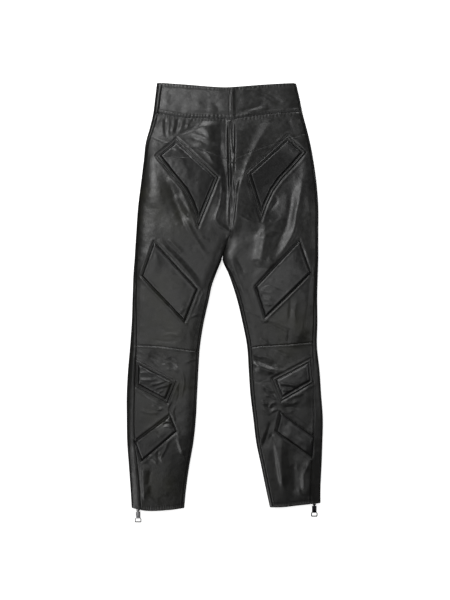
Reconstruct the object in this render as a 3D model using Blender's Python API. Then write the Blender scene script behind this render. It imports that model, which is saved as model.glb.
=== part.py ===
"""Leather trousers with padded panels, laid flat on their back.

Frame: +X to the right of someone who looks down at it, +Y up the garment, +Z up from the surface that it
lies on. The origin is under the middle of the whole outline. "Left" is the -X half and "right" the +X half.
Every length below is in millimetres; MM turns it into Blender's metres where a mesh is made.
"""
import math
from collections import namedtuple

import bmesh
import bpy
import numpy as np
from mathutils import Matrix, Vector
from mathutils.bvhtree import BVHTree

MM = 0.001
COLLECTION = "leather_trousers"

# ---------------------------------------------------------------- driving sizes

LEATHER = 1.2          # lambskin with its lining cloth
BAND_WALL = 2.4        # waistband: two layers and a stiffener
BAND_PROUD = 0.8       # the band's face stands this far above the yokes
SEAM_GAP = 0.3         # between neighbouring pieces
CHORD_ROOM = 0.12      # added along the side seams, where straight facets cut the curve's corners
FORK = 107.0           # where the two legs part
FORK_TOP = 230.0       # where the valley that leads down to the fork begins
FORK_SOFTNESS = 26.0   # half width of that valley's rounded floor
ROLL = 32.0            # width of the rounded zone beside a fold
ROLL_POWER = 2.4       # 2 is a circle, more is squarer
UNDER_ROLL = 9.0       # width of the rounding under a fold
FOLD_LEVEL = 0.42      # share of the loft at which a fold stands widest
CENTRE_BACK = 3.0      # x of the centre-back seam at the waist
BAND_CLOSURE = 21.5    # x of the waistband's closing edge
BACK_DROP = 1.0        # the waistband's back ends this far below the front's top edge
PROUD_LEVEL = 6.0      # round the side folds the band stands fully proud from this height up

# Each side's sections, from the waist to the hem. y is the height up the garment; outer is the side fold;
# inner is the centre seam above the fork and the inner fold below it; loft is the height of the upper face;
# outer_seam and inner_seam are how far inside the folds the front's seams lie.
SECTION_COLUMNS = ("y", "outer", "inner", "loft", "outer_seam", "inner_seam")
LEFT_SECTIONS = (
    (526, -163, 12, 14, 12, 0),
    (492, -167, 12, 14, 11, 0),
    (453, -172, 12, 16, 10, 0),
    (415, -181, 12.5, 20, 8, 0),
    (386, -189, 13, 23, 6, 0),
    (343, -194, 15, 26, 5, 0),
    (285, -201, 15, 28, 4, 0),
    (228, -208, 17, 28, 4, 0),
    (170, -212, 13, 28, 4, 0.2),
    (140, -214, 4, 28, 4, 0.6),
    (107, -216, -6, 28, 5, 1),
    (69, -219, -21, 27, 6, 4),
    (41, -220, -31, 27, 7, 5),
    (12, -221, -37, 27, 7, 5),
    (-46, -223, -50, 25, 10, 5),
    (-103, -227, -59, 24, 14, 5),
    (-161, -232, -63, 24, 17, 5),
    (-219, -235, -66, 23, 18, 5),
    (-276, -235, -69, 22, 17, 5),
    (-334, -234, -75, 20, 18, 5),
    (-391, -230, -85, 17, 20, 5),
    (-449, -226, -93, 13, 21, 5),
    (-500, -223, -98, 10, 22, 5),
)
RIGHT_SECTIONS = (
    (526, 171, 12, 14, 4, 0),
    (492, 179, 12, 14, 4, 0),
    (453, 187, 12, 16, 5, 0),
    (415, 197, 12.5, 20, 5, 0),
    (386, 204, 13, 23, 5, 0),
    (343, 212, 15, 26, 5, 0),
    (285, 220, 15, 28, 5, 0),
    (228, 224, 17, 28, 5, 0),
    (170, 224, 13, 28, 5, 0.2),
    (140, 224, 4, 28, 5, 0.6),
    (107, 224, -6, 28, 5, 1),
    (69, 223, 9, 27, 6, 5),
    (41, 222, 19, 27, 6, 7),
    (12, 221.5, 28, 27, 7, 8),
    (-46, 222, 42, 25, 9, 8),
    (-103, 221, 53, 24, 11, 8),
    (-161, 227, 57, 24, 15, 8),
    (-219, 231, 61, 23, 19, 8),
    (-276, 235, 68, 22, 21, 8),
    (-334, 234, 75, 20, 23, 8),
    (-391, 232, 87, 17, 24, 8),
    (-449, 229.5, 99, 13, 24, 8),
    (-500, 230, 110, 10, 23, 8),
)

# Seams and edges that run across, as y over x.
WAIST_TOP = ((-175, 529), (-163, 528), (-84, 522), (-38, 518), (0, 516), (48, 519), (84, 522), (171, 527))
WAIST_SEAM = (
    (-175, 455), (-135, 449), (-100, 444), (-61, 442), (-8, 441), (22, 440), (45, 444), (84, 450), (190, 458),
)
YOKE_SEAM = {
    "left": ((-200, 401), (-180, 397), (-138, 382), (-80, 373), (-19, 353), (15, 340)),
    "right": ((15, 340), (59, 359), (168, 397), (206, 408)),
}
KNEE_SEAM = {
    "left": ((-228, -101), (-160, -104), (-98, -112), (-58, -117)),
    "right": ((52, -108), (82, -104), (116, -102), (222, -94)),
}
HEM = {
    "left": ((-224, -491), (-199, -497), (-139, -497), (-98, -492)),
    "right": ((104, -490), (132, -490), (180, -485), (231, -479.5)),
}

# The largest folds of the upper face. A positive height is a ridge and a negative one a trough; west and east
# are its half widths on the two sides of its line, as one walks down it with west on the right hand.
Fold = namedtuple("Fold", "name points height west east")
FOLDS = (
    Fold("left_rise_ridge", ((-22, 339), (-9, 285), (-14, 250), (-25, 204), (-21, 192), (5, 173)), 6, 9, 12),
    Fold("left_rise_trough", ((-14, 439), (-12, 367), (-2, 307), (3, 247), (4, 218)), -5, 14, 8),
    Fold(
        "right_rise_ridge",
        ((108, 434), (93, 417), (74, 386), (59, 363), (47, 327), (36, 294), (27, 265)), 6, 9, 9,
    ),
    Fold("right_rise_trough", ((34, 425), (37, 370), (32, 330), (27, 300)), -5, 9, 9),
    Fold("fork_overlap", ((36, 283), (27, 223), (25, 194), (20, 165), (10, 138), (0, 118)), -9, 6, 20),
    Fold("right_hip_ridge", ((182, 302), (178, 269), (170, 218), (159, 163), (122, 110), (63, 48)), 5, 11, 9),
    Fold("right_thigh_ridge", ((96, 177), (82, 84)), 3, 12, 12),
    Fold("left_hip_ridge", ((-115, 260), (-89, 221), (-81, 204)), 4, 10, 9),
    Fold("left_hip_crease", ((-78, 168), (-63, 145), (-43, 114)), -3, 9, 9),
    Fold("left_thigh_ridge", ((-161, 152), (-112, 98), (-58, 38)), 3, 8, 8),
    Fold("left_seat_swell", ((-160, 300), (-170, 225)), 3, 22, 22),
    Fold("right_knee_trough", ((62, -128), (125, -154)), -3, 9, 9),
    Fold("right_knee_ridge", ((66, -150), (118, -166)), 3, 9, 9),
    Fold("left_knee_trough", ((-180, -118), (-110, -150)), -2.5, 10, 10),
    Fold("left_shin_ridge", ((-193, -385), (-192, -470)), 3, 10, 10),
    Fold("left_calf_ridge", ((-113, -312), (-97, -365)), 2.5, 9, 9),
    Fold("right_shin_ridge", ((135, -318), (137, -440)), 3, 10, 10),
    Fold("right_ankle_ridge", ((197, -380), (199, -462)), 3, 10, 10),
    Fold("right_ankle_trough", ((165, -385), (166, -460)), -2, 9, 9),
    Fold("right_shin_crease", ((115, -312), (94, -345)), -3, 8, 8),
)
FOLD_FADE = 26.0       # folds die out this close to the side folds
FOLD_TAPER = 0.3       # share of a fold's length over which each end dies out

# Padded panels, as corners in order, with a curve's points between two corners listed after the first.
Pad = namedtuple("Pad", "name sides framed swell")
HIP_CURVE_LEFT = ((-165, 352), (-132, 309), (-98, 269), (-83, 240), (-72, 209))
HIP_CURVE_RIGHT = ((195, 360), (170, 331), (135, 294), (116, 267), (101, 235))
PADS = (
    Pad("hip_pad_left", (((-115, 394),), HIP_CURVE_LEFT, ((-63, 180),), ((-15, 300),)), True, 4.5),
    Pad("hip_pad_right", (((150, 400),), HIP_CURVE_RIGHT, ((87, 196),), ((51, 309),)), True, 4.5),
    Pad("thigh_pad_left", (((-169, 147),), ((-199, 65),), ((-95, -45),), ((-65, 33),)), False, 5.0),
    Pad("thigh_pad_right", (((178, 151),), ((205, 72),), ((96, -36),), ((72, 39),)), False, 5.0),
    Pad("knee_pad_left", (((-214, -132),), ((-216, -199),), ((-137, -240),), ((-115, -186),)), True, 4.0),
    Pad("knee_pad_right", (((205, -132),), ((211, -190),), ((134, -235),), ((112, -181),)), True, 4.0),
    Pad("shin_pad_left", (((-131, -267),), ((-216, -331),), ((-199, -379),), ((-115, -307),)), False, 4.5),
    Pad("shin_pad_right", (((133, -261),), ((214, -319),), ((208, -370),), ((122, -307),)), False, 4.5),
)
PAD_EDGE = 1.0         # a pad's thickness at its stitched edge
PAD_ROUNDING = 14.0    # how far in from the edge a pad reaches its full swell
PAD_CELL = 20.0        # length of a pad's facets
FRAME_WIDTH = 5.0      # the raised cord round a framed pad
FRAME_HEIGHT = 2.2
FRAME_INSET = 3.2      # the frame's middle, inside the corners given above
PILLOW_INSET = 7.5     # the pillow's edge, inside the same corners
FRAME_CELL = 12.0
OVERLAY_GAP = 0.35     # between a panel and what lies on it

FLY = (((6.5, 437),), ((7.5, 385), (8.5, 334)), ((24, 334), (18.5, 385)), ((14.5, 437),))
FLY_THICKNESS = 1.3

# Ankle zips, one in each outer seam, closed down to the hem.
ZIP_INSIDE = 15.0      # the zip's middle, inside the side fold
ZIP_WIDTH = 11.0
ZIP_THICKNESS = 1.6
ZIP_LENGTH = 150.0
ZIP_ROWS = 8
ZIP_DEPTH = 1.95       # from the upper face down to the zip: the leather and a little room
ZIP_ROOM = 0.4         # between the slider and the strip
SLIDER_WIDTH = 8.6
SLIDER_LENGTH = 9.5
SLIDER_DEPTH = 3.4
SLIDER_START = 1.5     # the slider's body begins this far above the hem
SLIDER_LEVEL = 5.2     # height of the slider's pin
LUG_THICKNESS = 1.2
LUG_REACH = 3.6        # the lugs stand this far below the hem
LUG_ROOT = 2.5         # and start this far above it, inside the slider
LUG_HEIGHT = 2.4
LUG_ROOM = 0.4         # between a lug and the tab's eye
PIN_RADIUS = 0.8
PIN_DROP = 2.4         # the pin's axis, below the hem
EYE_RADIUS = 1.7
EYE_BORE = 1.1
EYE_WIDTH = 4.6
TAB_THICKNESS = 1.6
TAB_LENGTH = 29.7      # from the pin
TAB_NECK = 10.6        # width beside the slider
TAB_FLARE = 15.8       # width round the window
TAB_START = 3.3        # the plate starts this far below the pin
TAB_SPREAD = 3.6       # and widens over this length above the window
TAB_CORNER = 1.6
WINDOW_WIDTH = 11.4
WINDOW_LENGTH = 7.4
WINDOW_RIM = 2.2
TAB_TILT = math.radians(8.0)   # it slopes down until its end meets the surface
NECK_SIZE = (4.4, 4.4, 1.3)    # joins the plate to its eye
NECK_MIDDLE = 2.6              # from the pin

# ---------------------------------------------------------------- shape of the garment


def smooth_step(value):
    """0 below 0, 1 above 1, with level ends."""
    t = np.clip(value, 0.0, 1.0)
    return t * t * (3.0 - 2.0 * t)


def smooth_curve(xs, ys, at):
    """Cubic curve through the points, with slopes taken from their neighbours."""
    xs, ys = np.asarray(xs, float), np.asarray(ys, float)
    at = np.clip(at, xs[0], xs[-1])
    slopes = np.gradient(ys, xs)
    i = np.clip(np.searchsorted(xs, at) - 1, 0, len(xs) - 2)
    width = xs[i + 1] - xs[i]
    t = (at - xs[i]) / width
    start = ys[i] * (1 + 2 * t) * (1 - t) ** 2 + slopes[i] * width * t * (1 - t) ** 2
    return start + ys[i + 1] * t * t * (3 - 2 * t) + slopes[i + 1] * width * t * t * (t - 1)


def cross_line(points, x):
    """y of a seam or an edge that runs across the garment, at x."""
    xs, ys = zip(*points)
    return smooth_curve(xs, ys, x)


class Side:
    """One half of the garment: its sections, and which way is in."""

    def __init__(self, name, sections, inward):
        self.name = name
        self.inward = inward
        table = np.array(sections, float)[::-1]
        self.rows = dict(zip(SECTION_COLUMNS, table.T))

    def at(self, column, y):
        return smooth_curve(self.rows["y"], self.rows[column], y)

    def outer_seam_x(self, y):
        return self.at("outer", y) + self.inward * self.at("outer_seam", y)

    def inner_seam_x(self, y):
        return self.at("inner", y) - self.inward * self.at("inner_seam", y)


LEFT = Side("left", LEFT_SECTIONS, 1)
RIGHT = Side("right", RIGHT_SECTIONS, -1)
SIDES = (LEFT, RIGHT)


def rise(distance):
    """How far the face has risen, 0 to 1, at a distance inside a fold."""
    t = 1.0 - np.clip(distance / ROLL, 0.0, 1.0)
    return (1.0 - t ** ROLL_POWER) ** (1.0 / ROLL_POWER)


def fold_height(fold, x, y):
    """Height that one fold adds at (x, y)."""
    points = np.array(fold.points, float)
    steps = np.diff(points, axis=0)
    lengths = np.hypot(steps[:, 0], steps[:, 1])
    total = lengths.sum()
    nearest = np.full(np.shape(x), np.inf)
    side = np.zeros(np.shape(x))
    along = np.zeros(np.shape(x))
    walked = 0.0
    for start, step, length in zip(points, steps, lengths):
        dx, dy = x - start[0], y - start[1]
        t = np.clip((dx * step[0] + dy * step[1]) / length ** 2, 0.0, 1.0)
        distance = np.hypot(dx - t * step[0], dy - t * step[1])
        closer = distance < nearest
        nearest = np.where(closer, distance, nearest)
        side = np.where(closer, step[0] * dy - step[1] * dx, side)
        along = np.where(closer, walked + t * length, along)
        walked += length
    half_width = np.where(side > 0, fold.east, fold.west)
    taper = smooth_step(np.minimum(along, total - along) / (FOLD_TAPER * total) + 0.25)
    return fold.height * taper * np.exp(-(nearest / half_width) ** 2)


def top_height(side, x, y):
    """Height of the upper face of one side at (x, y)."""
    x, y = np.asarray(x, float), np.asarray(y, float)
    loft = side.at("loft", y)
    level = FOLD_LEVEL * loft
    from_outer = np.maximum((x - side.at("outer", y)) * side.inward, 0.0)
    from_inner = np.maximum((side.at("inner", y) - x) * side.inward, 0.0)
    fork = smooth_step((FORK_TOP - y) / (FORK_TOP - FORK))
    softened = np.hypot(from_inner, FORK_SOFTNESS * (1.0 - fork)) * (1.0 + (1.0 - fork))
    valley = 1.0 - fork + fork * rise(softened)
    height = level + (loft - level) * rise(from_outer) * valley
    fade = smooth_step(from_outer / FOLD_FADE)
    below_fork = smooth_step((FORK - y) / 30.0)
    fade = fade * (1.0 - below_fork + below_fork * smooth_step(from_inner / FOLD_FADE))
    for fold in FOLDS:
        height = height + fade * fold_height(fold, x, y)
    return height


def top_normal(side, x, y, reach=0.5):
    """Unit normal of the upper face."""
    slope_x = (top_height(side, x + reach, y) - top_height(side, x - reach, y)) / (2 * reach)
    slope_y = (top_height(side, x, y + reach) - top_height(side, x, y - reach)) / (2 * reach)
    normal = np.stack([-slope_x, -slope_y, np.ones_like(slope_x)], axis=-1)
    return normal / np.linalg.norm(normal, axis=-1, keepdims=True)


# ---------------------------------------------------------------- making meshes


def make_materials():
    """Principled materials: name -> colour, roughness, metallic."""
    finishes = {
        "black_lambskin": ((0.016, 0.016, 0.015), 0.38, 0.0),
        "padded_lambskin": ((0.013, 0.013, 0.013), 0.42, 0.0),
        "zip_tape": ((0.01, 0.01, 0.01), 0.85, 0.0),
        "blackened_metal": ((0.06, 0.06, 0.062), 0.3, 1.0),
    }
    made = {}
    for name, (colour, roughness, metallic) in finishes.items():
        material = bpy.data.materials.new(name)
        material.use_nodes = True
        shader = material.node_tree.nodes["Principled BSDF"]
        shader.inputs["Base Color"].default_value = (*colour, 1.0)
        shader.inputs["Roughness"].default_value = roughness
        shader.inputs["Metallic"].default_value = metallic
        made[name] = material
    return made


def add_object(name, build, material, collection):
    """Link an object whose mesh is the bmesh, in triangles that point outwards."""
    bmesh.ops.recalc_face_normals(build, faces=build.faces)
    bmesh.ops.triangulate(build, faces=build.faces)
    mesh = bpy.data.meshes.new(name)
    build.to_mesh(mesh)
    build.free()
    mesh.materials.append(material)
    mesh.shade_smooth()
    mesh.set_sharp_from_angle(angle=math.radians(40.0))
    made = bpy.data.objects.new(name, mesh)
    collection.objects.link(made)
    return made


def wall_mesh(outer, inner):
    """Closed wall between two grids of points of the same size."""
    build = bmesh.new()
    sheets = []
    for grid in (outer, inner):
        sheets.append([[build.verts.new(Vector(point) * MM) for point in row] for row in grid])
    rows, columns = len(outer), len(outer[0])
    for sheet in sheets:
        for r in range(rows - 1):
            for c in range(columns - 1):
                build.faces.new((sheet[r][c], sheet[r][c + 1], sheet[r + 1][c + 1], sheet[r + 1][c]))
    rim = [(0, c) for c in range(columns)]
    rim += [(r, columns - 1) for r in range(1, rows)]
    rim += [(rows - 1, c) for c in range(columns - 2, -1, -1)]
    rim += [(r, 0) for r in range(rows - 2, 0, -1)]
    top, under = sheets
    for (r0, c0), (r1, c1) in zip(rim, rim[1:] + rim[:1]):
        build.faces.new((top[r0][c0], top[r1][c1], under[r1][c1], under[r0][c0]))
    return build


# ---------------------------------------------------------------- the front's panels


def front_grid(side, top_line, bottom_line, across, rows, closure=None):
    """x and y of a panel's points: rows from its upper seam to its lower one, columns from the outer seam."""
    top_y, bottom_y = (np.full(len(across), float(cross_line(line, 0.0))) for line in (top_line, bottom_line))
    down = np.linspace(0.0, 1.0, rows + 1)[:, None]
    half_gap = 0.5 * SEAM_GAP
    y = top_y + (bottom_y - top_y) * down
    for _ in range(4):
        outer_x = side.outer_seam_x(y) + side.inward * (half_gap + CHORD_ROOM)
        inner_x = (side.inner_seam_x(y) - side.inward * CHORD_ROOM) if closure is None else closure
        inner_x = inner_x - side.inward * half_gap
        x = outer_x + (inner_x - outer_x) * across
        y = cross_line(top_line, x) - half_gap
        y = y + (cross_line(bottom_line, x) + half_gap - y) * down
    return x, y


def front_panel(
    name, side, lines, across, rows, material, collection, wall=LEATHER, proud=0.0, closure=None,
):
    """A piece of the front: a wall on the upper face between two seams."""
    x, y = front_grid(side, *lines, across, rows, closure)
    z = top_height(side, x, y) + proud
    outer = np.stack([x, y, z], axis=-1)
    inner = outer - wall * top_normal(side, x, y)
    return add_object(name, wall_mesh(outer, inner), material, collection)


# ---------------------------------------------------------------- the back's pieces

FLAP_STEPS = (0.0, 0.4, 0.75, 0.93)          # from the seam out to the fold, on the upper face
UNDER_ANGLES = (0.0, 35.0, 65.0, 90.0)       # round the fold and under it
FLAT_STEPS = (0.3, 0.7)                      # along the underside
BAND_FLAT_STEPS = (0.12, 0.3, 0.5, 0.7, 0.88)
BACK_BAND_ENDS = (526.0, 456.0)              # y of the band's top and bottom edges at the side folds
HALF_POINTS = len(FLAP_STEPS) + len(UNDER_ANGLES)
CENTRE_SPREAD = 60.0                         # above the fork the inner points spread over this width


def fold_points(side, y, edge, seam_inset, outward):
    """Points and normals from a seam on the upper face, round a fold, to where the underside is flat."""
    flap_x = edge - outward * seam_inset * (1.0 - np.array(FLAP_STEPS))
    flap_y = np.full(len(flap_x), y)
    points = list(zip(flap_x, flap_y, top_height(side, flap_x, flap_y)))
    normals = list(top_normal(side, flap_x, flap_y))
    level = FOLD_LEVEL * float(side.at("loft", y))
    for angle in UNDER_ANGLES:
        turn = math.radians(angle)
        x = edge - outward * UNDER_ROLL * (1.0 - math.cos(turn))
        points.append((x, y, level * (1.0 - math.sin(turn))))
        normals.append((outward * math.cos(turn), 0.0, -math.sin(turn)))
    return points, normals


def centre_back_x(y):
    """The centre-back seam runs from the waist to the fork."""
    fork_x = float(LEFT.at("inner", FORK))
    share = (y - FORK) / (LEFT.rows["y"][-1] - FORK)
    return fork_x + (CENTRE_BACK - fork_x) * share


def leg_back_section(side, y):
    """Points and normals of a leg's back: outer seam, side fold, underside, inner fold or centre seam."""
    half_gap = 0.5 * SEAM_GAP
    outward = -side.inward
    outer = float(side.at("outer", y))
    points, normals = fold_points(side, y, outer, float(side.at("outer_seam", y)) - half_gap, outward)
    if y < FORK:
        inner = float(side.at("inner", y)) - side.inward * half_gap
        inset = float(side.at("inner_seam", y)) - half_gap
        inner_points, inner_normals = fold_points(side, y, inner, inset, side.inward)
        inner_points.reverse()
        inner_normals.reverse()
    else:
        end = centre_back_x(y) - side.inward * half_gap
        spread = np.linspace(CENTRE_SPREAD, 0.0, HALF_POINTS)
        inner_points = [(end - side.inward * reach, y, 0.0) for reach in spread]
        inner_normals = [(0.0, 0.0, -1.0)] * HALF_POINTS
    start_x, end_x = points[-1][0], inner_points[0][0]
    flat = [(start_x + (end_x - start_x) * step, y, 0.0) for step in FLAT_STEPS]
    return points + flat + inner_points, normals + [(0.0, 0.0, -1.0)] * len(flat) + inner_normals


BACK_ROWS = (
    *np.linspace(453.0, 285.0, 9), *np.linspace(258.0, 165.0, 4), FORK + 34.0, FORK + 13.0, FORK - 1.0,
    FORK - 14.0, FORK - 32.0, *np.linspace(FORK - 52.0, -495.0, 24),
)
BACK_SEAM_ENDS = (-158.0, 172.0)             # the waist seam is straight between these on the underside
LINE_REACH = 80.0      # the waist seam's and the hem's curves die out over this height


def back_waist_line(x):
    """y of the waist seam on the back: the front's curve at the folds, straight along the underside."""
    ends = [float(cross_line(WAIST_SEAM, end)) for end in BACK_SEAM_ENDS]
    if BACK_SEAM_ENDS[0] < x < BACK_SEAM_ENDS[1]:
        return float(np.interp(x, BACK_SEAM_ENDS, ends))
    return float(cross_line(WAIST_SEAM, x))


def leg_back(side, material, collection):
    """One leg's back, from the waistband to the hem, with the folds and the flaps up to the front's seams."""
    half_gap = 0.5 * SEAM_GAP
    top, bottom = BACK_ROWS[0], BACK_ROWS[-1]
    outer, inner = [], []
    for row in BACK_ROWS:
        near_top = max(0.0, 1.0 - (top - row) / LINE_REACH)
        near_hem = max(0.0, 1.0 - (row - bottom) / LINE_REACH)
        points, normals = (np.array(values) for values in leg_back_section(side, row))
        if near_top or near_hem:
            for column, x in enumerate(points[:, 0].copy()):
                y = row + near_top * (back_waist_line(x) - half_gap - top)
                y += near_hem * (float(cross_line(HEM[side.name], x)) - bottom)
                moved_points, moved_normals = leg_back_section(side, y)
                points[column] = moved_points[column]
                normals[column] = moved_normals[column]
        outer.append(points)
        inner.append(points - LEATHER * normals)
    return add_object(f"leg_back_{side.name}", wall_mesh(outer, inner), material, collection)


def band_back(material, collection, rows=4):
    """The waistband's back, round both side folds to the front's seams."""
    half_gap = 0.5 * SEAM_GAP
    outer, inner = [], []
    for share in np.linspace(0.0, 1.0, rows + 1):
        halves = []
        for side in SIDES:
            edge = float(side.at("outer", (1.0 - share) * BACK_BAND_ENDS[0] + share * BACK_BAND_ENDS[1]))
            top_y = float(cross_line(WAIST_TOP, edge)) - BACK_DROP
            y = top_y + (float(cross_line(WAIST_SEAM, edge)) + half_gap - top_y) * share
            edge = float(side.at("outer", y))
            inset = float(side.at("outer_seam", y)) - half_gap
            halves.append(fold_points(side, y, edge, inset, -side.inward))
        (left_points, left_normals), (right_points, right_normals) = halves
        start, end = np.array(left_points[-1]), np.array(right_points[-1])
        flat = []
        for step in BAND_FLAT_STEPS:
            x = start[0] + (end[0] - start[0]) * step
            top_y = float(cross_line(WAIST_TOP, x)) - BACK_DROP
            y = top_y + (back_waist_line(x) + half_gap - top_y) * share
            flat.append((x, y, 0.0))
        points = np.array(left_points + flat + right_points[::-1])
        normals = np.array(left_normals + [(0.0, 0.0, -1.0)] * len(flat) + right_normals[::-1])
        points[:, 2] += BAND_PROUD * np.clip(points[:, 2] / PROUD_LEVEL, 0.0, 1.0)
        outer.append(points)
        inner.append(points - BAND_WALL * normals)
    return add_object("waistband_back", wall_mesh(outer, inner), material, collection)


# ---------------------------------------------------------------- what lies on the panels


def surface_reader(objects):
    """Function that gives the height of the panels' faces at (x, y), as the highest within a small reach."""
    trees = []
    for thing in objects:
        mesh = thing.data
        corners = [vertex.co.copy() for vertex in mesh.vertices]
        trees.append(BVHTree.FromPolygons(corners, [tuple(face.vertices) for face in mesh.polygons]))

    def height_at(x, y):
        highest = 0.0
        for tree in trees:
            hit, _, _, _ = tree.ray_cast(Vector((x, y, 200.0)) * MM, Vector((0.0, 0.0, -1.0)))
            if hit is not None:
                highest = max(highest, hit.z / MM)
        return highest

    def reader(x, y, reach):
        samples = [(x, y)]
        samples += [(x + reach * dx, y + reach * dy) for dx in (-1, 0, 1) for dy in (-1, 0, 1) if dx or dy]
        return max(height_at(*sample) for sample in samples)

    return reader


def walk(points, count):
    """Points spaced evenly along a run of straight stretches."""
    points = np.array(points, float)
    steps = np.hypot(*np.diff(points, axis=0).T)
    marks = np.concatenate([[0.0], np.cumsum(steps)])
    at = np.linspace(0.0, marks[-1], count + 1)
    return np.stack([np.interp(at, marks, points[:, 0]), np.interp(at, marks, points[:, 1])], axis=-1)


def side_length(points):
    return float(np.hypot(*np.diff(np.array(points, float), axis=0).T).sum())


def inset_sides(sides, distance):
    """The same outline, moved in by a distance, still in four sides."""
    ring = np.array([point for one in sides for point in one], float)
    before, after = np.roll(ring, 1, axis=0), np.roll(ring, -1, axis=0)
    arrive, leave = ring - before, after - ring
    arrive /= np.linalg.norm(arrive, axis=1, keepdims=True)
    leave /= np.linalg.norm(leave, axis=1, keepdims=True)
    area = float(np.sum(ring[:, 0] * after[:, 1] - after[:, 0] * ring[:, 1]))
    turn = 1.0 if area > 0 else -1.0
    normal_in = np.stack([-arrive[:, 1] - leave[:, 1], arrive[:, 0] + leave[:, 0]], axis=-1) * turn
    normal_in /= np.linalg.norm(normal_in, axis=1, keepdims=True)
    edge_in = np.stack([-arrive[:, 1], arrive[:, 0]], axis=-1) * turn
    moved = ring + normal_in * (distance / np.sum(normal_in * edge_in, axis=1))[:, None]
    result, start = [], 0
    for one in sides:
        result.append([tuple(point) for point in moved[start:start + len(one)]])
        start += len(one)
    return result


def patch(sides, cell):
    """Grid of points that fills four sides, as a Coons patch; it has about one facet for each cell length."""
    runs = [list(one) + [sides[(i + 1) % 4][0]] for i, one in enumerate(sides)]
    down = max(3, round(max(side_length(runs[0]), side_length(runs[2])) / cell))
    across = max(3, round(max(side_length(runs[1]), side_length(runs[3])) / cell))
    first, second = walk(runs[0], down), walk(runs[1], across)
    third, fourth = walk(runs[2], down)[::-1], walk(runs[3], across)[::-1]
    u = np.linspace(0.0, 1.0, down + 1)[:, None, None]
    v = np.linspace(0.0, 1.0, across + 1)[None, :, None]
    ruled = first[:, None] * (1 - v) + third[:, None] * v + fourth[None] * (1 - u) + second[None] * u
    near = (first[0] * (1 - u) + first[-1] * u) * (1 - v)
    far = (third[0] * (1 - u) + third[-1] * u) * v
    return ruled - near - far


def distance_inside(grid, sides):
    """Distance from each point of the grid to the outline."""
    ring = np.array([point for one in sides for point in one], float)
    nearest = np.full(grid.shape[:2], np.inf)
    for start, end in zip(ring, np.roll(ring, -1, axis=0)):
        step = end - start
        t = np.clip(((grid - start) @ step) / (step @ step), 0.0, 1.0)
        nearest = np.minimum(nearest, np.linalg.norm(grid - start - t[..., None] * step, axis=-1))
    return nearest


def overlay(name, sides, swell, edge, reader, material, collection, cell=PAD_CELL):
    """A piece that lies on the panels: its underside follows them and its top swells in the middle."""
    grid = patch(sides, cell)
    inside = distance_inside(grid, sides)
    flat_under = [[reader(x, y, 0.3 * cell) for x, y in row] for row in grid]
    under = np.array(flat_under) + OVERLAY_GAP
    t = 1.0 - np.clip(inside / PAD_ROUNDING, 0.0, 1.0)
    top = under + edge + swell * np.sqrt(1.0 - t * t)
    outer = np.concatenate([grid, top[..., None]], axis=-1)
    inner = np.concatenate([grid, under[..., None]], axis=-1)
    return add_object(name, wall_mesh(outer, inner), material, collection)


FRAME_SECTION = ((-0.5, 0.0), (-0.42, 0.7), (0.0, 1.0), (0.42, 0.7), (0.5, 0.0))
SEAT_SHARE = 0.35      # the cord's seat is the highest this far towards the points beside it


def frame_ring(name, sides, reader, material, collection):
    """The raised cord round a framed pad: one low half-round section, mitred at the corners."""
    middle = inset_sides(sides, FRAME_INSET)
    runs = [list(one) + [middle[(i + 1) % 4][0]] for i, one in enumerate(middle)]
    path = []
    for run in runs:
        path.extend(walk(run, max(2, round(side_length(run) / FRAME_CELL)))[:-1])
    path = [tuple(point) for point in path]
    lines = []
    for share, lift in FRAME_SECTION:
        moved = inset_sides([path], -share * FRAME_WIDTH)[0]
        lines.append((moved, lift * FRAME_HEIGHT))
    build = bmesh.new()
    seats = []
    for before, here, after in zip(path[-1:] + path, path, path[1:] + path[:1]):
        nearby = [here]
        nearby += [
            (1.0 - SEAT_SHARE) * np.array(here) + SEAT_SHARE * np.array(other) for other in (before, after)
        ]
        seats.append(max(reader(x, y, 0.6 * FRAME_WIDTH) for x, y in nearby) + OVERLAY_GAP)
    rings = []
    for points, lift in lines:
        ring = [build.verts.new(Vector((x, y, seat + lift)) * MM) for (x, y), seat in zip(points, seats)]
        rings.append(ring)
    count = len(path)
    for ring, following in zip(rings, rings[1:] + rings[:1]):
        for i in range(count):
            j = (i + 1) % count
            build.faces.new((ring[i], ring[j], following[j], following[i]))
    return add_object(name, build, material, collection)


# ---------------------------------------------------------------- ankle zips


def zip_place(side):
    """x of the zip's middle and y of the hem there."""
    hem_y = float(side.rows["y"][0])
    for _ in range(3):
        x = float(side.at("outer", hem_y)) + side.inward * ZIP_INSIDE
        hem_y = float(cross_line(HEM[side.name], x))
    return x, hem_y


def zip_strip(side, material, collection):
    """The closed zip, under the flap beside the outer seam."""
    _, hem_y = zip_place(side)
    lower = hem_y + SLIDER_START + SLIDER_LENGTH + ZIP_ROOM
    top, under = [], []
    for y in np.linspace(lower, lower + ZIP_LENGTH, ZIP_ROWS):
        middle = float(side.at("outer", y)) + side.inward * ZIP_INSIDE
        row_top, row_under = [], []
        for share in (-0.5, 0.0, 0.5):
            x = middle + share * ZIP_WIDTH
            z = float(top_height(side, x, y)) - ZIP_DEPTH
            row_top.append((x, y, z))
            row_under.append((x, y, z - ZIP_THICKNESS))
        top.append(row_top)
        under.append(row_under)
    return add_object(f"zip_strip_{side.name}", wall_mesh(top, under), material, collection)


def box(size, centre):
    """A box as a bmesh."""
    build = bmesh.new()
    scale = Matrix.Diagonal((*(length * MM for length in size), 1.0))
    place = Matrix.Translation(Vector(centre) * MM) @ scale
    bmesh.ops.create_cube(build, size=1.0, matrix=place)
    return build


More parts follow.
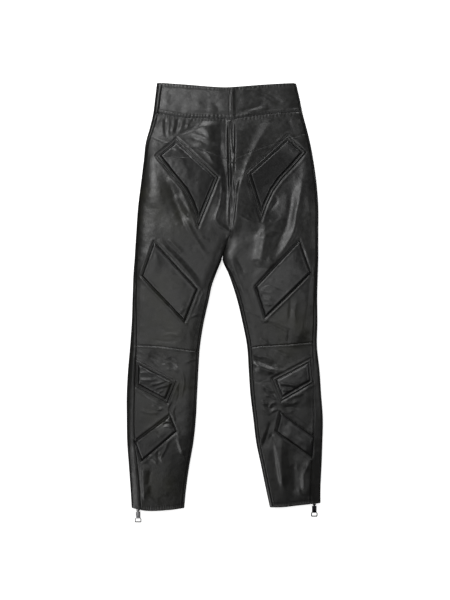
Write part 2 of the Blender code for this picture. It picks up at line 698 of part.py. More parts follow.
def rod(radius, length, centre, segments=16):
    """A round rod along X as a bmesh."""
    build = bmesh.new()
    place = Matrix.Translation(Vector(centre) * MM) @ Matrix.Rotation(math.pi / 2, 4, "Y")
    bmesh.ops.create_cone(
        build, cap_ends=True, segments=segments, radius1=radius * MM, radius2=radius * MM,
        depth=length * MM, matrix=place,
    )
    return build


def combine(base, others, helpers, material):
    """Union or cut the others into the base with Boolean modifiers."""
    for index, (operation, build) in enumerate(others):
        tool = add_object(f"{base.name}_tool_{index}", build, material, helpers)
        tool.hide_render = True
        tool.display_type = "WIRE"
        change = base.modifiers.new(f"{operation.lower()}_{index}", "BOOLEAN")
        change.operation = operation
        change.object = tool


def zip_slider(side, material, collection, helpers):
    """The slider's body, with two lugs that hold the pin of the pull tab below the hem."""
    x, hem_y = zip_place(side)
    middle_y = hem_y + SLIDER_START + 0.5 * SLIDER_LENGTH
    body = box((SLIDER_WIDTH, SLIDER_LENGTH, SLIDER_DEPTH), (x, middle_y, SLIDER_LEVEL))
    slider = add_object(f"zip_slider_{side.name}", body, material, collection)
    lug_x = 0.5 * EYE_WIDTH + LUG_ROOM + 0.5 * LUG_THICKNESS
    lug_length = LUG_REACH + LUG_ROOT
    others = []
    for way in (-1, 1):
        size = (LUG_THICKNESS, lug_length, LUG_HEIGHT)
        centre = (x + way * lug_x, hem_y + LUG_ROOT - 0.5 * lug_length, SLIDER_LEVEL)
        others.append(("UNION", box(size, centre)))
    others.append(("UNION", rod(PIN_RADIUS, 2 * lug_x, (x, hem_y - PIN_DROP, SLIDER_LEVEL))))
    combine(slider, others, helpers, material)
    return slider


def tab_outline():
    """Half outline of the pull tab in its own plane, from the pin down, on the +X side."""
    waist = TAB_LENGTH - WINDOW_LENGTH - 2 * WINDOW_RIM
    return (
        (0.5 * (TAB_NECK - TAB_CORNER), -TAB_START), (0.5 * TAB_NECK, -TAB_START - 0.5 * TAB_CORNER),
        (0.5 * TAB_NECK, -waist), (0.5 * TAB_FLARE, -waist - TAB_SPREAD),
        (0.5 * TAB_FLARE, -TAB_LENGTH + TAB_CORNER), (0.5 * TAB_FLARE - TAB_CORNER, -TAB_LENGTH),
    )


def pull_tab(side, material, collection, helpers):
    """The pull tab: a flat plate with a window, and an eye round the slider's pin, where its origin is."""
    x, hem_y = zip_place(side)
    half = tab_outline()
    ring = list(half) + [(-px, py) for px, py in reversed(half)]
    build = bmesh.new()
    low = [build.verts.new(Vector((px, py, -0.5 * TAB_THICKNESS)) * MM) for px, py in ring]
    plate = build.faces.new(low)
    lifted = bmesh.ops.extrude_face_region(build, geom=[plate])
    raised = [item for item in lifted["geom"] if isinstance(item, bmesh.types.BMVert)]
    bmesh.ops.translate(build, verts=raised, vec=(0.0, 0.0, TAB_THICKNESS * MM))
    tab = add_object(f"zip_pull_{side.name}", build, material, collection)
    neck = box(NECK_SIZE, (0.0, -NECK_MIDDLE, 0.0))
    window_y = -TAB_LENGTH + WINDOW_RIM + 0.5 * WINDOW_LENGTH
    others = [
        ("UNION", neck),
        ("UNION", rod(EYE_RADIUS, EYE_WIDTH, (0.0, 0.0, 0.0))),
        ("DIFFERENCE", rod(EYE_BORE, 2 * EYE_WIDTH, (0.0, 0.0, 0.0))),
        ("DIFFERENCE", box((WINDOW_WIDTH, WINDOW_LENGTH, 3 * TAB_THICKNESS), (0.0, window_y, 0.0))),
    ]
    combine(tab, others, helpers, material)
    place = Matrix.Translation(Vector((x, hem_y - PIN_DROP, SLIDER_LEVEL)) * MM)
    turned = place @ Matrix.Rotation(TAB_TILT, 4, "X")
    tab.matrix_world = turned
    for change in tab.modifiers:
        change.object.matrix_world = turned
    return tab


# ---------------------------------------------------------------- the whole garment

BODY_ACROSS = (0.0, 0.02, 0.055, 0.11, 0.185, 0.27, 0.36, 0.45, 0.54, 0.63, 0.72, 0.8, 0.87, 0.93, 0.97, 1.0)
SHIN_ACROSS = (0.0, 0.06, 0.14, 0.25, 0.37, 0.5, 0.63, 0.76, 0.88, 0.95, 1.0)
BAND_ROWS = 4
YOKE_ROWS = 4
THIGH_ROWS = 25
SHIN_ROWS = 21


def clear_scene():
    for thing in list(bpy.data.objects):
        bpy.data.objects.remove(thing, do_unlink=True)


def main():
    clear_scene()
    parts = bpy.data.collections.new(COLLECTION)
    helpers = bpy.data.collections.new("cutters")
    for collection in (parts, helpers):
        bpy.context.scene.collection.children.link(collection)
    finishes = make_materials()
    leather, padding = finishes["black_lambskin"], finishes["padded_lambskin"]
    tape, metal = finishes["zip_tape"], finishes["blackened_metal"]

    body, shin = np.array(BODY_ACROSS), np.array(SHIN_ACROSS)
    fronts = []
    for side in SIDES:
        name = side.name
        yoke_line, knee_line = YOKE_SEAM[name], KNEE_SEAM[name]
        front_panel(
            f"waistband_front_{name}", side, (WAIST_TOP, WAIST_SEAM), body, BAND_ROWS, leather, parts,
            wall=BAND_WALL, proud=BAND_PROUD, closure=BAND_CLOSURE,
        )
        fronts += [
            front_panel(f"yoke_front_{name}", side, (WAIST_SEAM, yoke_line), body, YOKE_ROWS, leather, parts),
            front_panel(
                f"thigh_front_{name}", side, (yoke_line, knee_line), body, THIGH_ROWS, leather, parts,
            ),
            front_panel(f"shin_front_{name}", side, (knee_line, HEM[name]), shin, SHIN_ROWS, leather, parts),
        ]
        leg_back(side, leather, parts)
    band_back(leather, parts)

    reader = surface_reader(fronts)
    overlay("fly_lap", FLY, 0.0, FLY_THICKNESS, reader, leather, parts, cell=16.0)
    for pad in PADS:
        sides = inset_sides(pad.sides, PILLOW_INSET) if pad.framed else pad.sides
        overlay(pad.name, sides, pad.swell, PAD_EDGE, reader, padding, parts)
        if pad.framed:
            frame_ring(pad.name.replace("pad", "frame"), pad.sides, reader, leather, parts)

    for side in SIDES:
        zip_strip(side, tape, parts)
        zip_slider(side, metal, parts, helpers)
        pull_tab(side, metal, parts, helpers)


main()
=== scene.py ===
"""Leather trousers with padded panels, laid flat on their back: finished skins, padding, stitching and zips.

Frame: +X to the right of someone who looks down at the garment, +Y up the garment, +Z up from the floor.
"Left" is the -X half. Lengths are in millimetres; MM turns them into Blender's metres where a mesh is made.
"""
import math
from collections import namedtuple

import bmesh
import bpy
import numpy as np
from bpy.props import FloatProperty, FloatVectorProperty, IntProperty, PointerProperty, StringProperty
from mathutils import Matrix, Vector


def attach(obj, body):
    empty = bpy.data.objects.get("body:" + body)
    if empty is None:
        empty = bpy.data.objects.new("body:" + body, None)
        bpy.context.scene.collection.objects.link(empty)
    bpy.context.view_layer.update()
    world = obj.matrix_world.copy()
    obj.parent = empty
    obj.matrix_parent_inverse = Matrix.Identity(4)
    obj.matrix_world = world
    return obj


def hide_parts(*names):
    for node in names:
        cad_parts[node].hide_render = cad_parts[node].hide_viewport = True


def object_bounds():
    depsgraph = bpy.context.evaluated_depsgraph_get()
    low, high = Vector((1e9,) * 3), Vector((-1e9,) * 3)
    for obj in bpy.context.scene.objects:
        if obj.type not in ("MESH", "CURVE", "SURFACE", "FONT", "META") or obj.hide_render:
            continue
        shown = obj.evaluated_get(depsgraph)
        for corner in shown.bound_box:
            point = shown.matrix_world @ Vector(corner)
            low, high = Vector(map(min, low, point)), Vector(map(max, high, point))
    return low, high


bl_info = {
    "name": "Leather trousers",
    "version": (1, 0, 0),
    "blender": (4, 5, 0),
    "location": "View3D > Sidebar > Trousers",
    "description": "Makes the skins, padding, stitching and zips of a pair of leather trousers",
    "category": "Object",
}

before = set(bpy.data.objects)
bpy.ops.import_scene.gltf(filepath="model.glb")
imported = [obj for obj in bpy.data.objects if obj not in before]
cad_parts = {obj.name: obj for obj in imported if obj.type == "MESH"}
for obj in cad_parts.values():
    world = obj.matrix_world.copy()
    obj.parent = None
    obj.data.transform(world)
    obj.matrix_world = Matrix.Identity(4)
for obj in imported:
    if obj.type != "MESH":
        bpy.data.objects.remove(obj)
CAD_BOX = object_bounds()
MM = 0.001
GARMENT = "garment"

# ---------------------------------------------------------------- the form that the solids share

LEATHER = 1.2          # lambskin with its lining cloth
BAND_WALL = 2.4        # waistband: two layers and a stiffener
BAND_PROUD = 0.8       # the waistband stands this far above the skins below it
SEAM_GAP = 0.3         # between the edges of two skins
CHORD_ROOM = 0.12      # more room beside the curved seams, where straight facets bulge
FORK = 107.0           # where the two legs part
FORK_TOP = 230.0       # the valley between the legs starts here
FORK_SOFTNESS = 26.0   # where it starts, it is rounded over this width
FORK_FADE = 30.0       # below the fork, the inner edge becomes a side fold over this length
ROLL = 32.0            # width of the rounded zone beside a fold
ROLL_POWER = 2.4
UNDER_ROLL = 9.0       # width of the rounded zone on the underside
FOLD_LEVEL = 0.42      # height of a side fold, as a share of the loft
CENTRE_BACK = 3.0      # x of the centre-back seam at the waist
BAND_CLOSURE = 21.5    # x of the waistband's closing edge
FOLD_FADE = 26.0       # the main folds die out over this width beside a side fold
CREASE_FADE = 8.0      # and the finer ones over this
FOLD_TAPER = 0.3       # share of a fold's length over which each of its ends dies out

# Sections of each half, from the waist down: x of its folds, its loft, and how far inside them the seams run.
SECTION_COLUMNS = ("y", "outer", "inner", "loft", "outer_seam", "inner_seam")
LEFT_SECTIONS = (
    (526, -163, 12, 14, 12, 0), (492, -167, 12, 14, 11, 0), (453, -172, 12, 16, 10, 0),
    (415, -181, 12.5, 20, 8, 0), (386, -189, 13, 23, 6, 0), (343, -194, 15, 26, 5, 0),
    (285, -201, 15, 28, 4, 0), (228, -208, 17, 28, 4, 0), (170, -212, 13, 28, 4, 0.2),
    (140, -214, 4, 28, 4, 0.6), (107, -216, -6, 28, 5, 1), (69, -219, -21, 27, 6, 4),
    (41, -220, -31, 27, 7, 5), (12, -221, -37, 27, 7, 5), (-46, -223, -50, 25, 10, 5),
    (-103, -227, -59, 24, 14, 5), (-161, -232, -63, 24, 17, 5), (-219, -235, -66, 23, 18, 5),
    (-276, -235, -69, 22, 17, 5), (-334, -234, -75, 20, 18, 5), (-391, -230, -85, 17, 20, 5),
    (-449, -226, -93, 13, 21, 5), (-500, -223, -98, 10, 22, 5),
)
RIGHT_SECTIONS = (
    (526, 171, 12, 14, 4, 0), (492, 179, 12, 14, 4, 0), (453, 187, 12, 16, 5, 0),
    (415, 197, 12.5, 20, 5, 0), (386, 204, 13, 23, 5, 0), (343, 212, 15, 26, 5, 0),
    (285, 220, 15, 28, 5, 0), (228, 224, 17, 28, 5, 0), (170, 224, 13, 28, 5, 0.2),
    (140, 224, 4, 28, 5, 0.6), (107, 224, -6, 28, 5, 1), (69, 223, 9, 27, 6, 5),
    (41, 222, 19, 27, 6, 7), (12, 221.5, 28, 27, 7, 8), (-46, 222, 42, 25, 9, 8),
    (-103, 221, 53, 24, 11, 8), (-161, 227, 57, 24, 15, 8), (-219, 231, 61, 23, 19, 8),
    (-276, 235, 68, 22, 21, 8), (-334, 234, 75, 20, 23, 8), (-391, 232, 87, 17, 24, 8),
    (-449, 229.5, 99, 13, 24, 8), (-500, 230, 110, 10, 23, 8),
)
# Seams and edges that run across, from left to right.
WAIST_TOP = ((-175, 529), (-163, 528), (-84, 522), (-38, 518), (0, 516), (48, 519), (84, 522), (171, 527))
WAIST_SEAM = (
    (-175, 455), (-135, 449), (-100, 444), (-61, 442), (-8, 441), (22, 440), (45, 444), (84, 450), (190, 458),
)
YOKE_SEAM = {
    "left": ((-200, 401), (-180, 397), (-138, 382), (-80, 373), (-19, 353), (15, 340)),
    "right": ((15, 340), (59, 359), (168, 397), (206, 408)),
}
KNEE_SEAM = {
    "left": ((-228, -101), (-160, -104), (-98, -112), (-58, -117)),
    "right": ((52, -108), (82, -104), (116, -102), (222, -94)),
}
HEM = {
    "left": ((-224, -491), (-199, -497), (-139, -497), (-98, -492)),
    "right": ((104, -490), (132, -490), (180, -485), (231, -479.5)),
}

# Folds: a line's points, its height (a trough is negative) and its half widths to the west and the east of
# a line that runs down the garment. Where a line runs across from the left, they lie to its south and north.
Fold = namedtuple("Fold", "points height west east")
MAIN_FOLDS = (
    Fold(((-22, 339), (-9, 285), (-14, 250), (-25, 204), (-21, 192), (5, 173)), 6, 9, 12),
    Fold(((-14, 439), (-12, 367), (-2, 307), (3, 247), (4, 218)), -5, 14, 8),
    Fold(((108, 434), (93, 417), (74, 386), (59, 363), (47, 327), (36, 294), (27, 265)), 6, 9, 9),
    Fold(((34, 425), (37, 370), (32, 330), (27, 300)), -5, 9, 9),
    Fold(((36, 283), (27, 223), (25, 194), (20, 165), (10, 138), (0, 118)), -9, 6, 20),
    Fold(((182, 302), (178, 269), (170, 218), (159, 163), (122, 110), (63, 48)), 5, 11, 9),
    Fold(((96, 177), (82, 84)), 3, 12, 12),
    Fold(((-115, 260), (-89, 221), (-81, 204)), 4, 10, 9),
    Fold(((-78, 168), (-63, 145), (-43, 114)), -3, 9, 9),
    Fold(((-161, 152), (-112, 98), (-58, 38)), 3, 8, 8),
    Fold(((-160, 300), (-170, 225)), 3, 22, 22),
    Fold(((62, -128), (125, -154)), -3, 9, 9),
    Fold(((66, -150), (118, -166)), 3, 9, 9),
    Fold(((-180, -118), (-110, -150)), -2.5, 10, 10),
    Fold(((-193, -385), (-192, -470)), 3, 10, 10),
    Fold(((-113, -312), (-97, -365)), 2.5, 9, 9),
    Fold(((135, -318), (137, -440)), 3, 10, 10),
    Fold(((197, -380), (199, -462)), 3, 10, 10),
    Fold(((165, -385), (166, -460)), -2, 9, 9),
    Fold(((115, -312), (94, -345)), -3, 8, 8),
)

# Padded panels: four sides, each from one corner on, whether a cord frames it, and how far it swells.
Pad = namedtuple("Pad", "name sides framed swell")
HIP_CURVE_LEFT = ((-165, 352), (-132, 309), (-98, 269), (-83, 240), (-72, 209))
HIP_CURVE_RIGHT = ((195, 360), (170, 331), (135, 294), (116, 267), (101, 235))
PADS = (
    Pad("hip_pad_left", (((-115, 394),), HIP_CURVE_LEFT, ((-63, 180),), ((-15, 300),)), True, 3.6),
    Pad("hip_pad_right", (((150, 400),), HIP_CURVE_RIGHT, ((87, 196),), ((51, 309),)), True, 3.6),
    Pad("thigh_pad_left", (((-169, 147),), ((-199, 65),), ((-95, -45),), ((-65, 33),)), False, 5.0),
    Pad("thigh_pad_right", (((178, 151),), ((205, 72),), ((96, -36),), ((72, 39),)), False, 5.0),
    Pad("knee_pad_left", (((-214, -132),), ((-216, -199),), ((-137, -240),), ((-115, -186),)), True, 4.0),
    Pad("knee_pad_right", (((205, -132),), ((211, -190),), ((134, -235),), ((112, -181),)), True, 4.0),
    Pad("shin_pad_left", (((-131, -267),), ((-216, -331),), ((-199, -379),), ((-115, -307),)), False, 4.5),
    Pad("shin_pad_right", (((133, -261),), ((214, -319),), ((208, -370),), ((122, -307),)), False, 4.5),
)
PAD_EDGE = 0.8         # thickness of a pad at its edge
FRAME_WIDTH = 5.0
FRAME_LIFT = 1.2       # the sewn-down cord is flatter than the solid that it stands for
FRAME_INSET = 3.2      # from a framed pad's outline to the middle of its cord
PILLOW_INSET = 7.5     # and to the edge of its pillow
OVERLAY_GAP = 0.35     # between a skin and what is sewn on it
FLY = (((6.5, 437), (7.5, 385)), ((8.5, 334),), ((24, 334), (18.5, 385)), ((14.5, 437),))
FLY_THICKNESS = 1.3
ZIP_INSIDE = 15.0      # from the outer side fold to the middle of an ankle zip
ZIP_WIDTH = 11.0
ZIP_THICKNESS = 1.6
ZIP_LENGTH = 150.0
ZIP_DEPTH = 1.95       # the zip's upper face lies this far below the face of the leather
SLIDER_START = 1.5     # from the hem up to the slider
SLIDER_LENGTH = 9.5

# ---------------------------------------------------------------- the finer folds, which only the skins have

STEEPEST = 0.25        # a skin takes a fold of its solid no higher than this share of the fold's half width


def eased(fold):
    """A solid's fold as the softer skin over it takes it."""
    highest = STEEPEST * min(fold.west, fold.east)
    return fold._replace(height=max(-highest, min(highest, fold.height)))


# The ridge from the right yoke to the fork, and the trough beside it: DRAPE draws them for the skins.
REDRAWN = (2, 3)
SKIN_FOLDS = tuple(eased(fold) for number, fold in enumerate(MAIN_FOLDS) if number not in REDRAWN)

CREASES = (
    # gathers under the waistband, left
    Fold(((-151, 442), (-149, 420), (-146, 400)), 1.3, 5.5, 6),
    Fold(((-134, 443), (-135, 420), (-138, 398)), 1.5, 5, 6),
    Fold(((-120, 443), (-122, 425), (-126, 405)), 1.4, 5, 5.5),
    Fold(((-100, 441), (-103, 425), (-108, 412)), 1.2, 5, 5.5),
    Fold(((-85, 440), (-87, 430), (-92, 421)), 1.1, 3.5, 4),
    Fold(((-142, 440), (-141, 415), (-138, 395)), -0.8, 4.5, 4),
    Fold(((-112, 440), (-113, 422), (-117, 405)), -0.9, 4.5, 4),
    Fold(((-112, 403), (-85, 412), (-57, 428)), -1.9, 4, 5),
    Fold(((-60, 424), (-46, 412), (-32, 391)), 1.8, 9, 11),
    Fold(((-85, 396), (-60, 388), (-38, 378)), -1.1, 5, 4),
    Fold(((-78, 404), (-56, 398), (-40, 388)), 0.9, 4, 4),
    # beside the fly, left
    Fold(((-50, 366), (-36, 350), (-24, 330)), 1.2, 4, 4),
    Fold(((-30, 432), (-24, 400), (-24, 370)), -1.2, 7, 6),
    Fold(((-10, 330), (-7, 296), (-6, 262), (-10, 238), (-18, 212)), 1.8, 4, 6),
    Fold(((-14, 224), (-21, 202), (-15, 187), (-1, 177), (10, 167), (14, 150)), 2.1, 4, 6),
    # waistband
    Fold(((38, 457), (66, 466), (97, 478)), -1.3, 5, 5),
    Fold(((45, 452), (74, 460), (104, 466)), 1.0, 5, 5),
    Fold(((77, 511), (108, 496), (137, 477)), -1.0, 6, 6),
    Fold(((60, 506), (92, 493), (120, 480)), 0.8, 7, 6),
    Fold(((-25, 480), (-18, 466), (-10, 456)), -0.7, 8, 7),
    Fold(((-130, 512), (-112, 498), (-80, 494)), 0.5, 10, 10),
    Fold(((-148, 505), (-140, 490), (-138, 472)), 0.5, 8, 9),
    Fold(((-70, 505), (-60, 490), (-66, 470)), 0.4, 11, 10),
    # the waistband's closing edge: two stitched ridges and the step beside it
    Fold(((11, 520), (11.5, 498), (13.5, 492), (13.8, 438)), 0.8, 1.5, 1.5),
    Fold(((16.6, 520), (17, 498), (18.6, 492), (18.8, 438)), 0.8, 1.4, 1.4),
    Fold(((24, 520), (24.5, 470), (26, 440)), -1.6, 2.5, 24),
    # yoke, right
    Fold(((74, 440), (90, 443), (108, 442)), 0.9, 2.6, 2.6),
    Fold(((80, 434), (96, 437), (112, 435)), 0.8, 2.6, 2.8),
    Fold(((72, 428), (88, 430), (98, 428)), 0.6, 2.6, 2.6),
    Fold(((112, 438), (98, 416), (81, 388), (66, 362)), 0.5, 5, 6),
    Fold(((62, 362), (57, 357), (60, 352)), -1.3, 2.4, 2.4),
    Fold(((62, 354), (52, 328), (41, 294), (33, 268)), 0.7, 4, 7),
    Fold(((176, 440), (184, 405), (190, 380)), 1.2, 7, 6),
    Fold(((150, 440), (158, 418), (166, 404)), -0.8, 8, 7),
    # under the fly: the rise's seams and the folds beside them
    Fold(((6.7, 331), (6.7, 290), (9, 262)), -1.3, 1.6, 1.6),
    Fold(((13.7, 331), (14, 296), (14.5, 280)), -1.2, 1.5, 1.5),
    Fold(((23, 331), (22.6, 300), (21.5, 276)), -1.2, 1.6, 1.6),
    Fold(((10, 328), (10.4, 296), (11, 272)), 0.8, 2.2, 2.2),
    Fold(((18, 328), (18.4, 296), (18, 262)), 0.9, 2.4, 2.4),
    Fold(((15, 279), (9, 240), (8, 200), (10, 180)), 1.2, 2.4, 3),
    Fold(((22, 295), (22, 259), (17.5, 213), (13.4, 171), (1, 149)), 1.3, 2.2, 2.6),
    Fold(((31, 281), (25, 245)), 1.1, 2.4, 2.4),
    Fold(((12, 262), (13, 220), (12, 190)), -1.1, 2, 2),
    # left hip and thigh
    Fold(((-104, 214), (-92, 192), (-78, 166), (-62, 140), (-44, 113)), 1.5, 3.5, 6),
    Fold(((-190, 300), (-193, 250), (-197, 205)), 0.6, 8, 8),
    Fold(((-96, 215), (-88, 200)), -0.6, 3, 3),
    Fold(((-58, 160), (-46, 150), (-36, 152)), 0.8, 5, 5),
    Fold(((-157, 147), (-130, 120), (-96, 84), (-67, 46), (-58, 36)), 0.8, 3.2, 3.6),
    Fold(((-148, 156), (-118, 124), (-84, 88), (-60, 58)), -0.7, 3, 4),
    Fold(((-136, 152), (-116, 132), (-100, 118)), 1.2, 5, 6),
    Fold(((-58, 36), (-52, 24), (-57, 12), (-62, 0)), 0.9, 2.6, 2.6),
    Fold(((-66, 20), (-62, 6), (-70, -6)), -0.7, 2.6, 2.6),
    Fold(((-202, 60), (-150, 6), (-92, -54)), 0.7, 3, 2.6),
    Fold(((-86, -36), (-72, -30), (-60, -24)), 0.8, 3, 3),
    Fold(((-150, -78), (-126, -74), (-104, -80)), 0.6, 4, 4),
    Fold(((-168, -88), (-140, -92), (-112, -90)), -0.5, 3.5, 3.5),
    # right hip and thigh
    Fold(((160, 275), (146, 240), (130, 206), (119, 172), (110, 140)), 0.6, 16, 14),
    Fold(((160, 276), (157, 222), (143, 174), (118, 141)), -1.6, 9, 9),
    Fold(((112, 262), (124, 244), (104, 216)), -0.9, 4, 4),
    Fold(((34, 209), (52, 200), (70, 190)), 0.8, 2.6, 2.6),
    Fold(((54, 212), (62, 203), (72, 198)), 0.8, 2.2, 2.4),
    Fold(((104, 210), (118, 206), (134, 206)), -0.7, 2.6, 2.6),
    Fold(((106, 200), (120, 194), (134, 200)), 0.6, 2.6, 2.6),
    Fold(((16, 100), (24, 74), (34, 48), (44, 18)), 1.4, 6, 5),
    Fold(((28, 110), (38, 92), (46, 70)), -0.9, 6, 6),
    Fold(((200, 250), (206, 200), (208, 150)), 0.9, 5, 5),
    Fold(((92, -44), (140, 2), (206, 68)), 0.8, 2.8, 3),
    Fold(((84, -40), (94, -44), (104, -42)), 1.0, 3, 3),
    Fold(((156, 10), (156, -18), (154, -38)), -0.9, 4, 4),
    Fold(((153, -62), (152, -80), (151, -96)), -0.9, 4, 4),
    Fold(((172, 6), (166, -20), (168, -44)), 0.8, 5, 5),
    Fold(((84, -84), (96, -92), (104, -98)), 0.9, 3.5, 3.5),
    # left knee
    Fold(((-208, -116), (-190, -122), (-176, -132)), 0.8, 4, 4),
    Fold(((-184, -128), (-170, -140), (-156, -152)), -0.8, 3.5, 3.5),
    Fold(((-146, -132), (-128, -128), (-112, -134)), 0.9, 4, 4),
    Fold(((-150, -148), (-134, -146), (-118, -150)), 0.8, 3, 3),
    Fold(((-140, -160), (-126, -158), (-108, -164)), 0.7, 3, 3),
    Fold(((-104, -160), (-98, -190), (-104, -224)), 1.0, 3.2, 3.6),
    Fold(((-110, -196), (-108, -216), (-116, -240)), -0.8, 3, 3),
    Fold(((-94, -142), (-78, -136), (-66, -134)), 0.8, 3.4, 3.4),
    Fold(((-200, -210), (-178, -224), (-152, -240)), 1.0, 3.4, 3.4),
    Fold(((-196, -222), (-176, -236), (-150, -250)), -0.8, 3, 3),
    Fold(((-176, -246), (-158, -254), (-146, -250)), 1.0, 3.4, 3.4),
    Fold(((-200, -256), (-180, -262), (-156, -262)), 0.7, 3.6, 3.6),
    Fold(((-124, -238), (-131, -252), (-132, -266)), -1.4, 2.2, 2.2),
    Fold(((-118, -244), (-124, -262), (-120, -284)), 1.0, 2.8, 3),
    # left shin
    Fold(((-113, -310), (-108, -340), (-97, -366), (-93, -382)), 1.2, 3, 4),
    Fold(((-136, -330), (-142, -348), (-156, -372)), 1.5, 3.4, 3.8),
    Fold(((-160, -352), (-158, -372), (-154, -384)), -1.4, 4, 4),
    Fold(((-188, -364), (-172, -372), (-160, -384)), 1.0, 5, 5),
    Fold(((-196, -384), (-196, -430), (-192, -474)), 1.0, 3.6, 4.4),
    Fold(((-182, -430), (-184, -456), (-170, -474)), 0.9, 5, 5),
    Fold(((-178, -400), (-184, -440)), -0.9, 5, 5),
    # right knee
    Fold(((66, -126), (94, -142), (124, -154), (148, -160)), -2.2, 4.5, 4.5),
    Fold(((68, -143), (94, -157), (118, -165), (134, -160)), 1.5, 5, 5),
    Fold(((78, -128), (98, -130), (118, -140)), 0.9, 4, 4),
    Fold(((120, -112), (140, -122), (156, -128)), 1.0, 5, 4),
    Fold(((66, -184), (86, -190), (108, -184)), -1.0, 3.6, 3.6),
    Fold(((84, -192), (100, -186), (112, -184)), 0.9, 2.4, 2.4),
    Fold(((90, -196), (104, -206), (120, -212)), 1.2, 2.6, 2.6),
    Fold(((92, -204), (106, -214), (122, -222)), -1.5, 2.6, 2.6),
    Fold(((96, -221), (110, -222), (124, -231)), 1.3, 2.6, 2.6),
    Fold(((88, -232), (94, -240), (104, -240)), 1.4, 3, 3),
    Fold(((92, -252), (102, -262), (110, -266)), 1.3, 2.8, 2.8),
    Fold(((106, -250), (112, -240), (124, -238)), 1.3, 2.8, 2.8),
    Fold(((110, -262), (118, -256), (128, -254)), 1.2, 2.6, 2.6),
    Fold(((100, -246), (108, -252), (118, -248)), -1.2, 2.6, 2.6),
    Fold(((142, -238), (160, -240), (176, -234)), 1.2, 3.4, 3.4),
    Fold(((138, -250), (158, -248), (176, -254)), -1.1, 3, 3),
    Fold(((160, -222), (176, -220), (188, -214)), 1.1, 3.6, 3.6),
    Fold(((136, -258), (148, -262), (164, -258)), 1.0, 3, 3),
    Fold(((150, -262), (172, -276), (196, -296)), 0.9, 3, 3.4),
    # right shin
    Fold(((110, -284), (100, -316), (90, -344)), -1.7, 3.6, 4.4),
    Fold(((92, -306), (86, -330), (82, -352)), 0.8, 4, 4),
    Fold(((118, -310), (122, -344), (130, -392), (140, -442)), 1.8, 5, 7),
    Fold(((146, -350), (152, -400), (156, -450)), -1.3, 8, 8),
    Fold(((206, -372), (196, -392), (188, -412), (188, -452)), 1.7, 6, 5),
    Fold(((176, -440), (182, -460), (196, -472)), 0.9, 4, 4),
    Fold(((170, -372), (174, -386), (168, -400)), 0.7, 5, 5),
)

# Broad, shallow swells of the drape. They turn whole areas of the skin a little to or from the light.
DRAPE = (
    # the waistband is fullest beside its closing edge
    Fold(((8, 524), (6, 446)), 4.5, 95, 70),
    # left hip and thigh
    Fold(((-168, 392), (-162, 330), (-150, 260), (-126, 190), (-114, 130)), 3.8, 30, 125),
    Fold(((-160, 300), (-170, 225)), -2.2, 22, 22),
    Fold(((-164, 320), (-172, 210), (-178, 100), (-180, 20)), 1.8, 26, 26),
    Fold(((-133, 292), (-117, 252), (-103, 212), (-92, 182)), -2.4, 12, 12),
    Fold(((-135, 302), (-104, 264), (-88, 232), (-76, 200)), 1.6, 9, 16),
    Fold(((-78, 168), (-63, 145), (-43, 114)), 1.8, 9, 9),
    Fold(((-22, 339), (-9, 285), (-14, 250), (-25, 204), (-21, 192), (5, 173)), -1.5, 9, 12),
    # beside the fly: a long fall to each side of it
    Fold(((-34, 436), (-33, 400), (-30, 372)), 3.6, 40, 22),
    Fold(((3, 440), (3, 372), (5, 312), (6, 262)), -4.0, 26, 4),
    Fold(((26, 438), (26, 380), (24, 330), (22, 285)), 4.4, 3, 34),
    # right hip: a drop from the yoke's ridge across the pad, and the rise beyond it
    Fold(
        ((112, 440), (97, 414), (84, 390), (72, 366), (63, 346), (54, 322), (46, 294), (38, 262)),
        3.0, 12, 60),
    Fold(((192, 352), (140, 294), (104, 236), (86, 188)), -7.0, 85, 62),
    Fold(((38, 300), (30, 240), (25, 195), (18, 165)), 5.0, 5, 60),
    # right thigh
    Fold(((188, 318), (184, 269), (174, 218), (163, 163), (130, 110), (94, 66)), 1.4, 7, 35),
    Fold(((112, 172), (106, 130), (100, 82)), 3.6, 38, 15),
    Fold(((25, 178), (60, 172), (96, 172)), -2.2, 16, 32),
    Fold(((208, 130), (200, 40), (182, -60), (156, -110)), 7.0, 90, 20),
    # above the left knee
    Fold(((-108, 10), (-112, -60), (-112, -130)), 1.8, 30, 26),
    # knee and shin, right
    Fold(((196, -110), (192, -180), (190, -250)), 2.0, 60, 20),
    Fold(((130, -310), (140, -390), (148, -474)), 1.8, 12, 18),
    Fold(((208, -290), (207, -350), (205, -420), (203, -474)), 2.6, 34, 10),
    # shin, left
    Fold(((-136, -290), (-140, -400), (-142, -482)), 2.8, 42, 26),
)

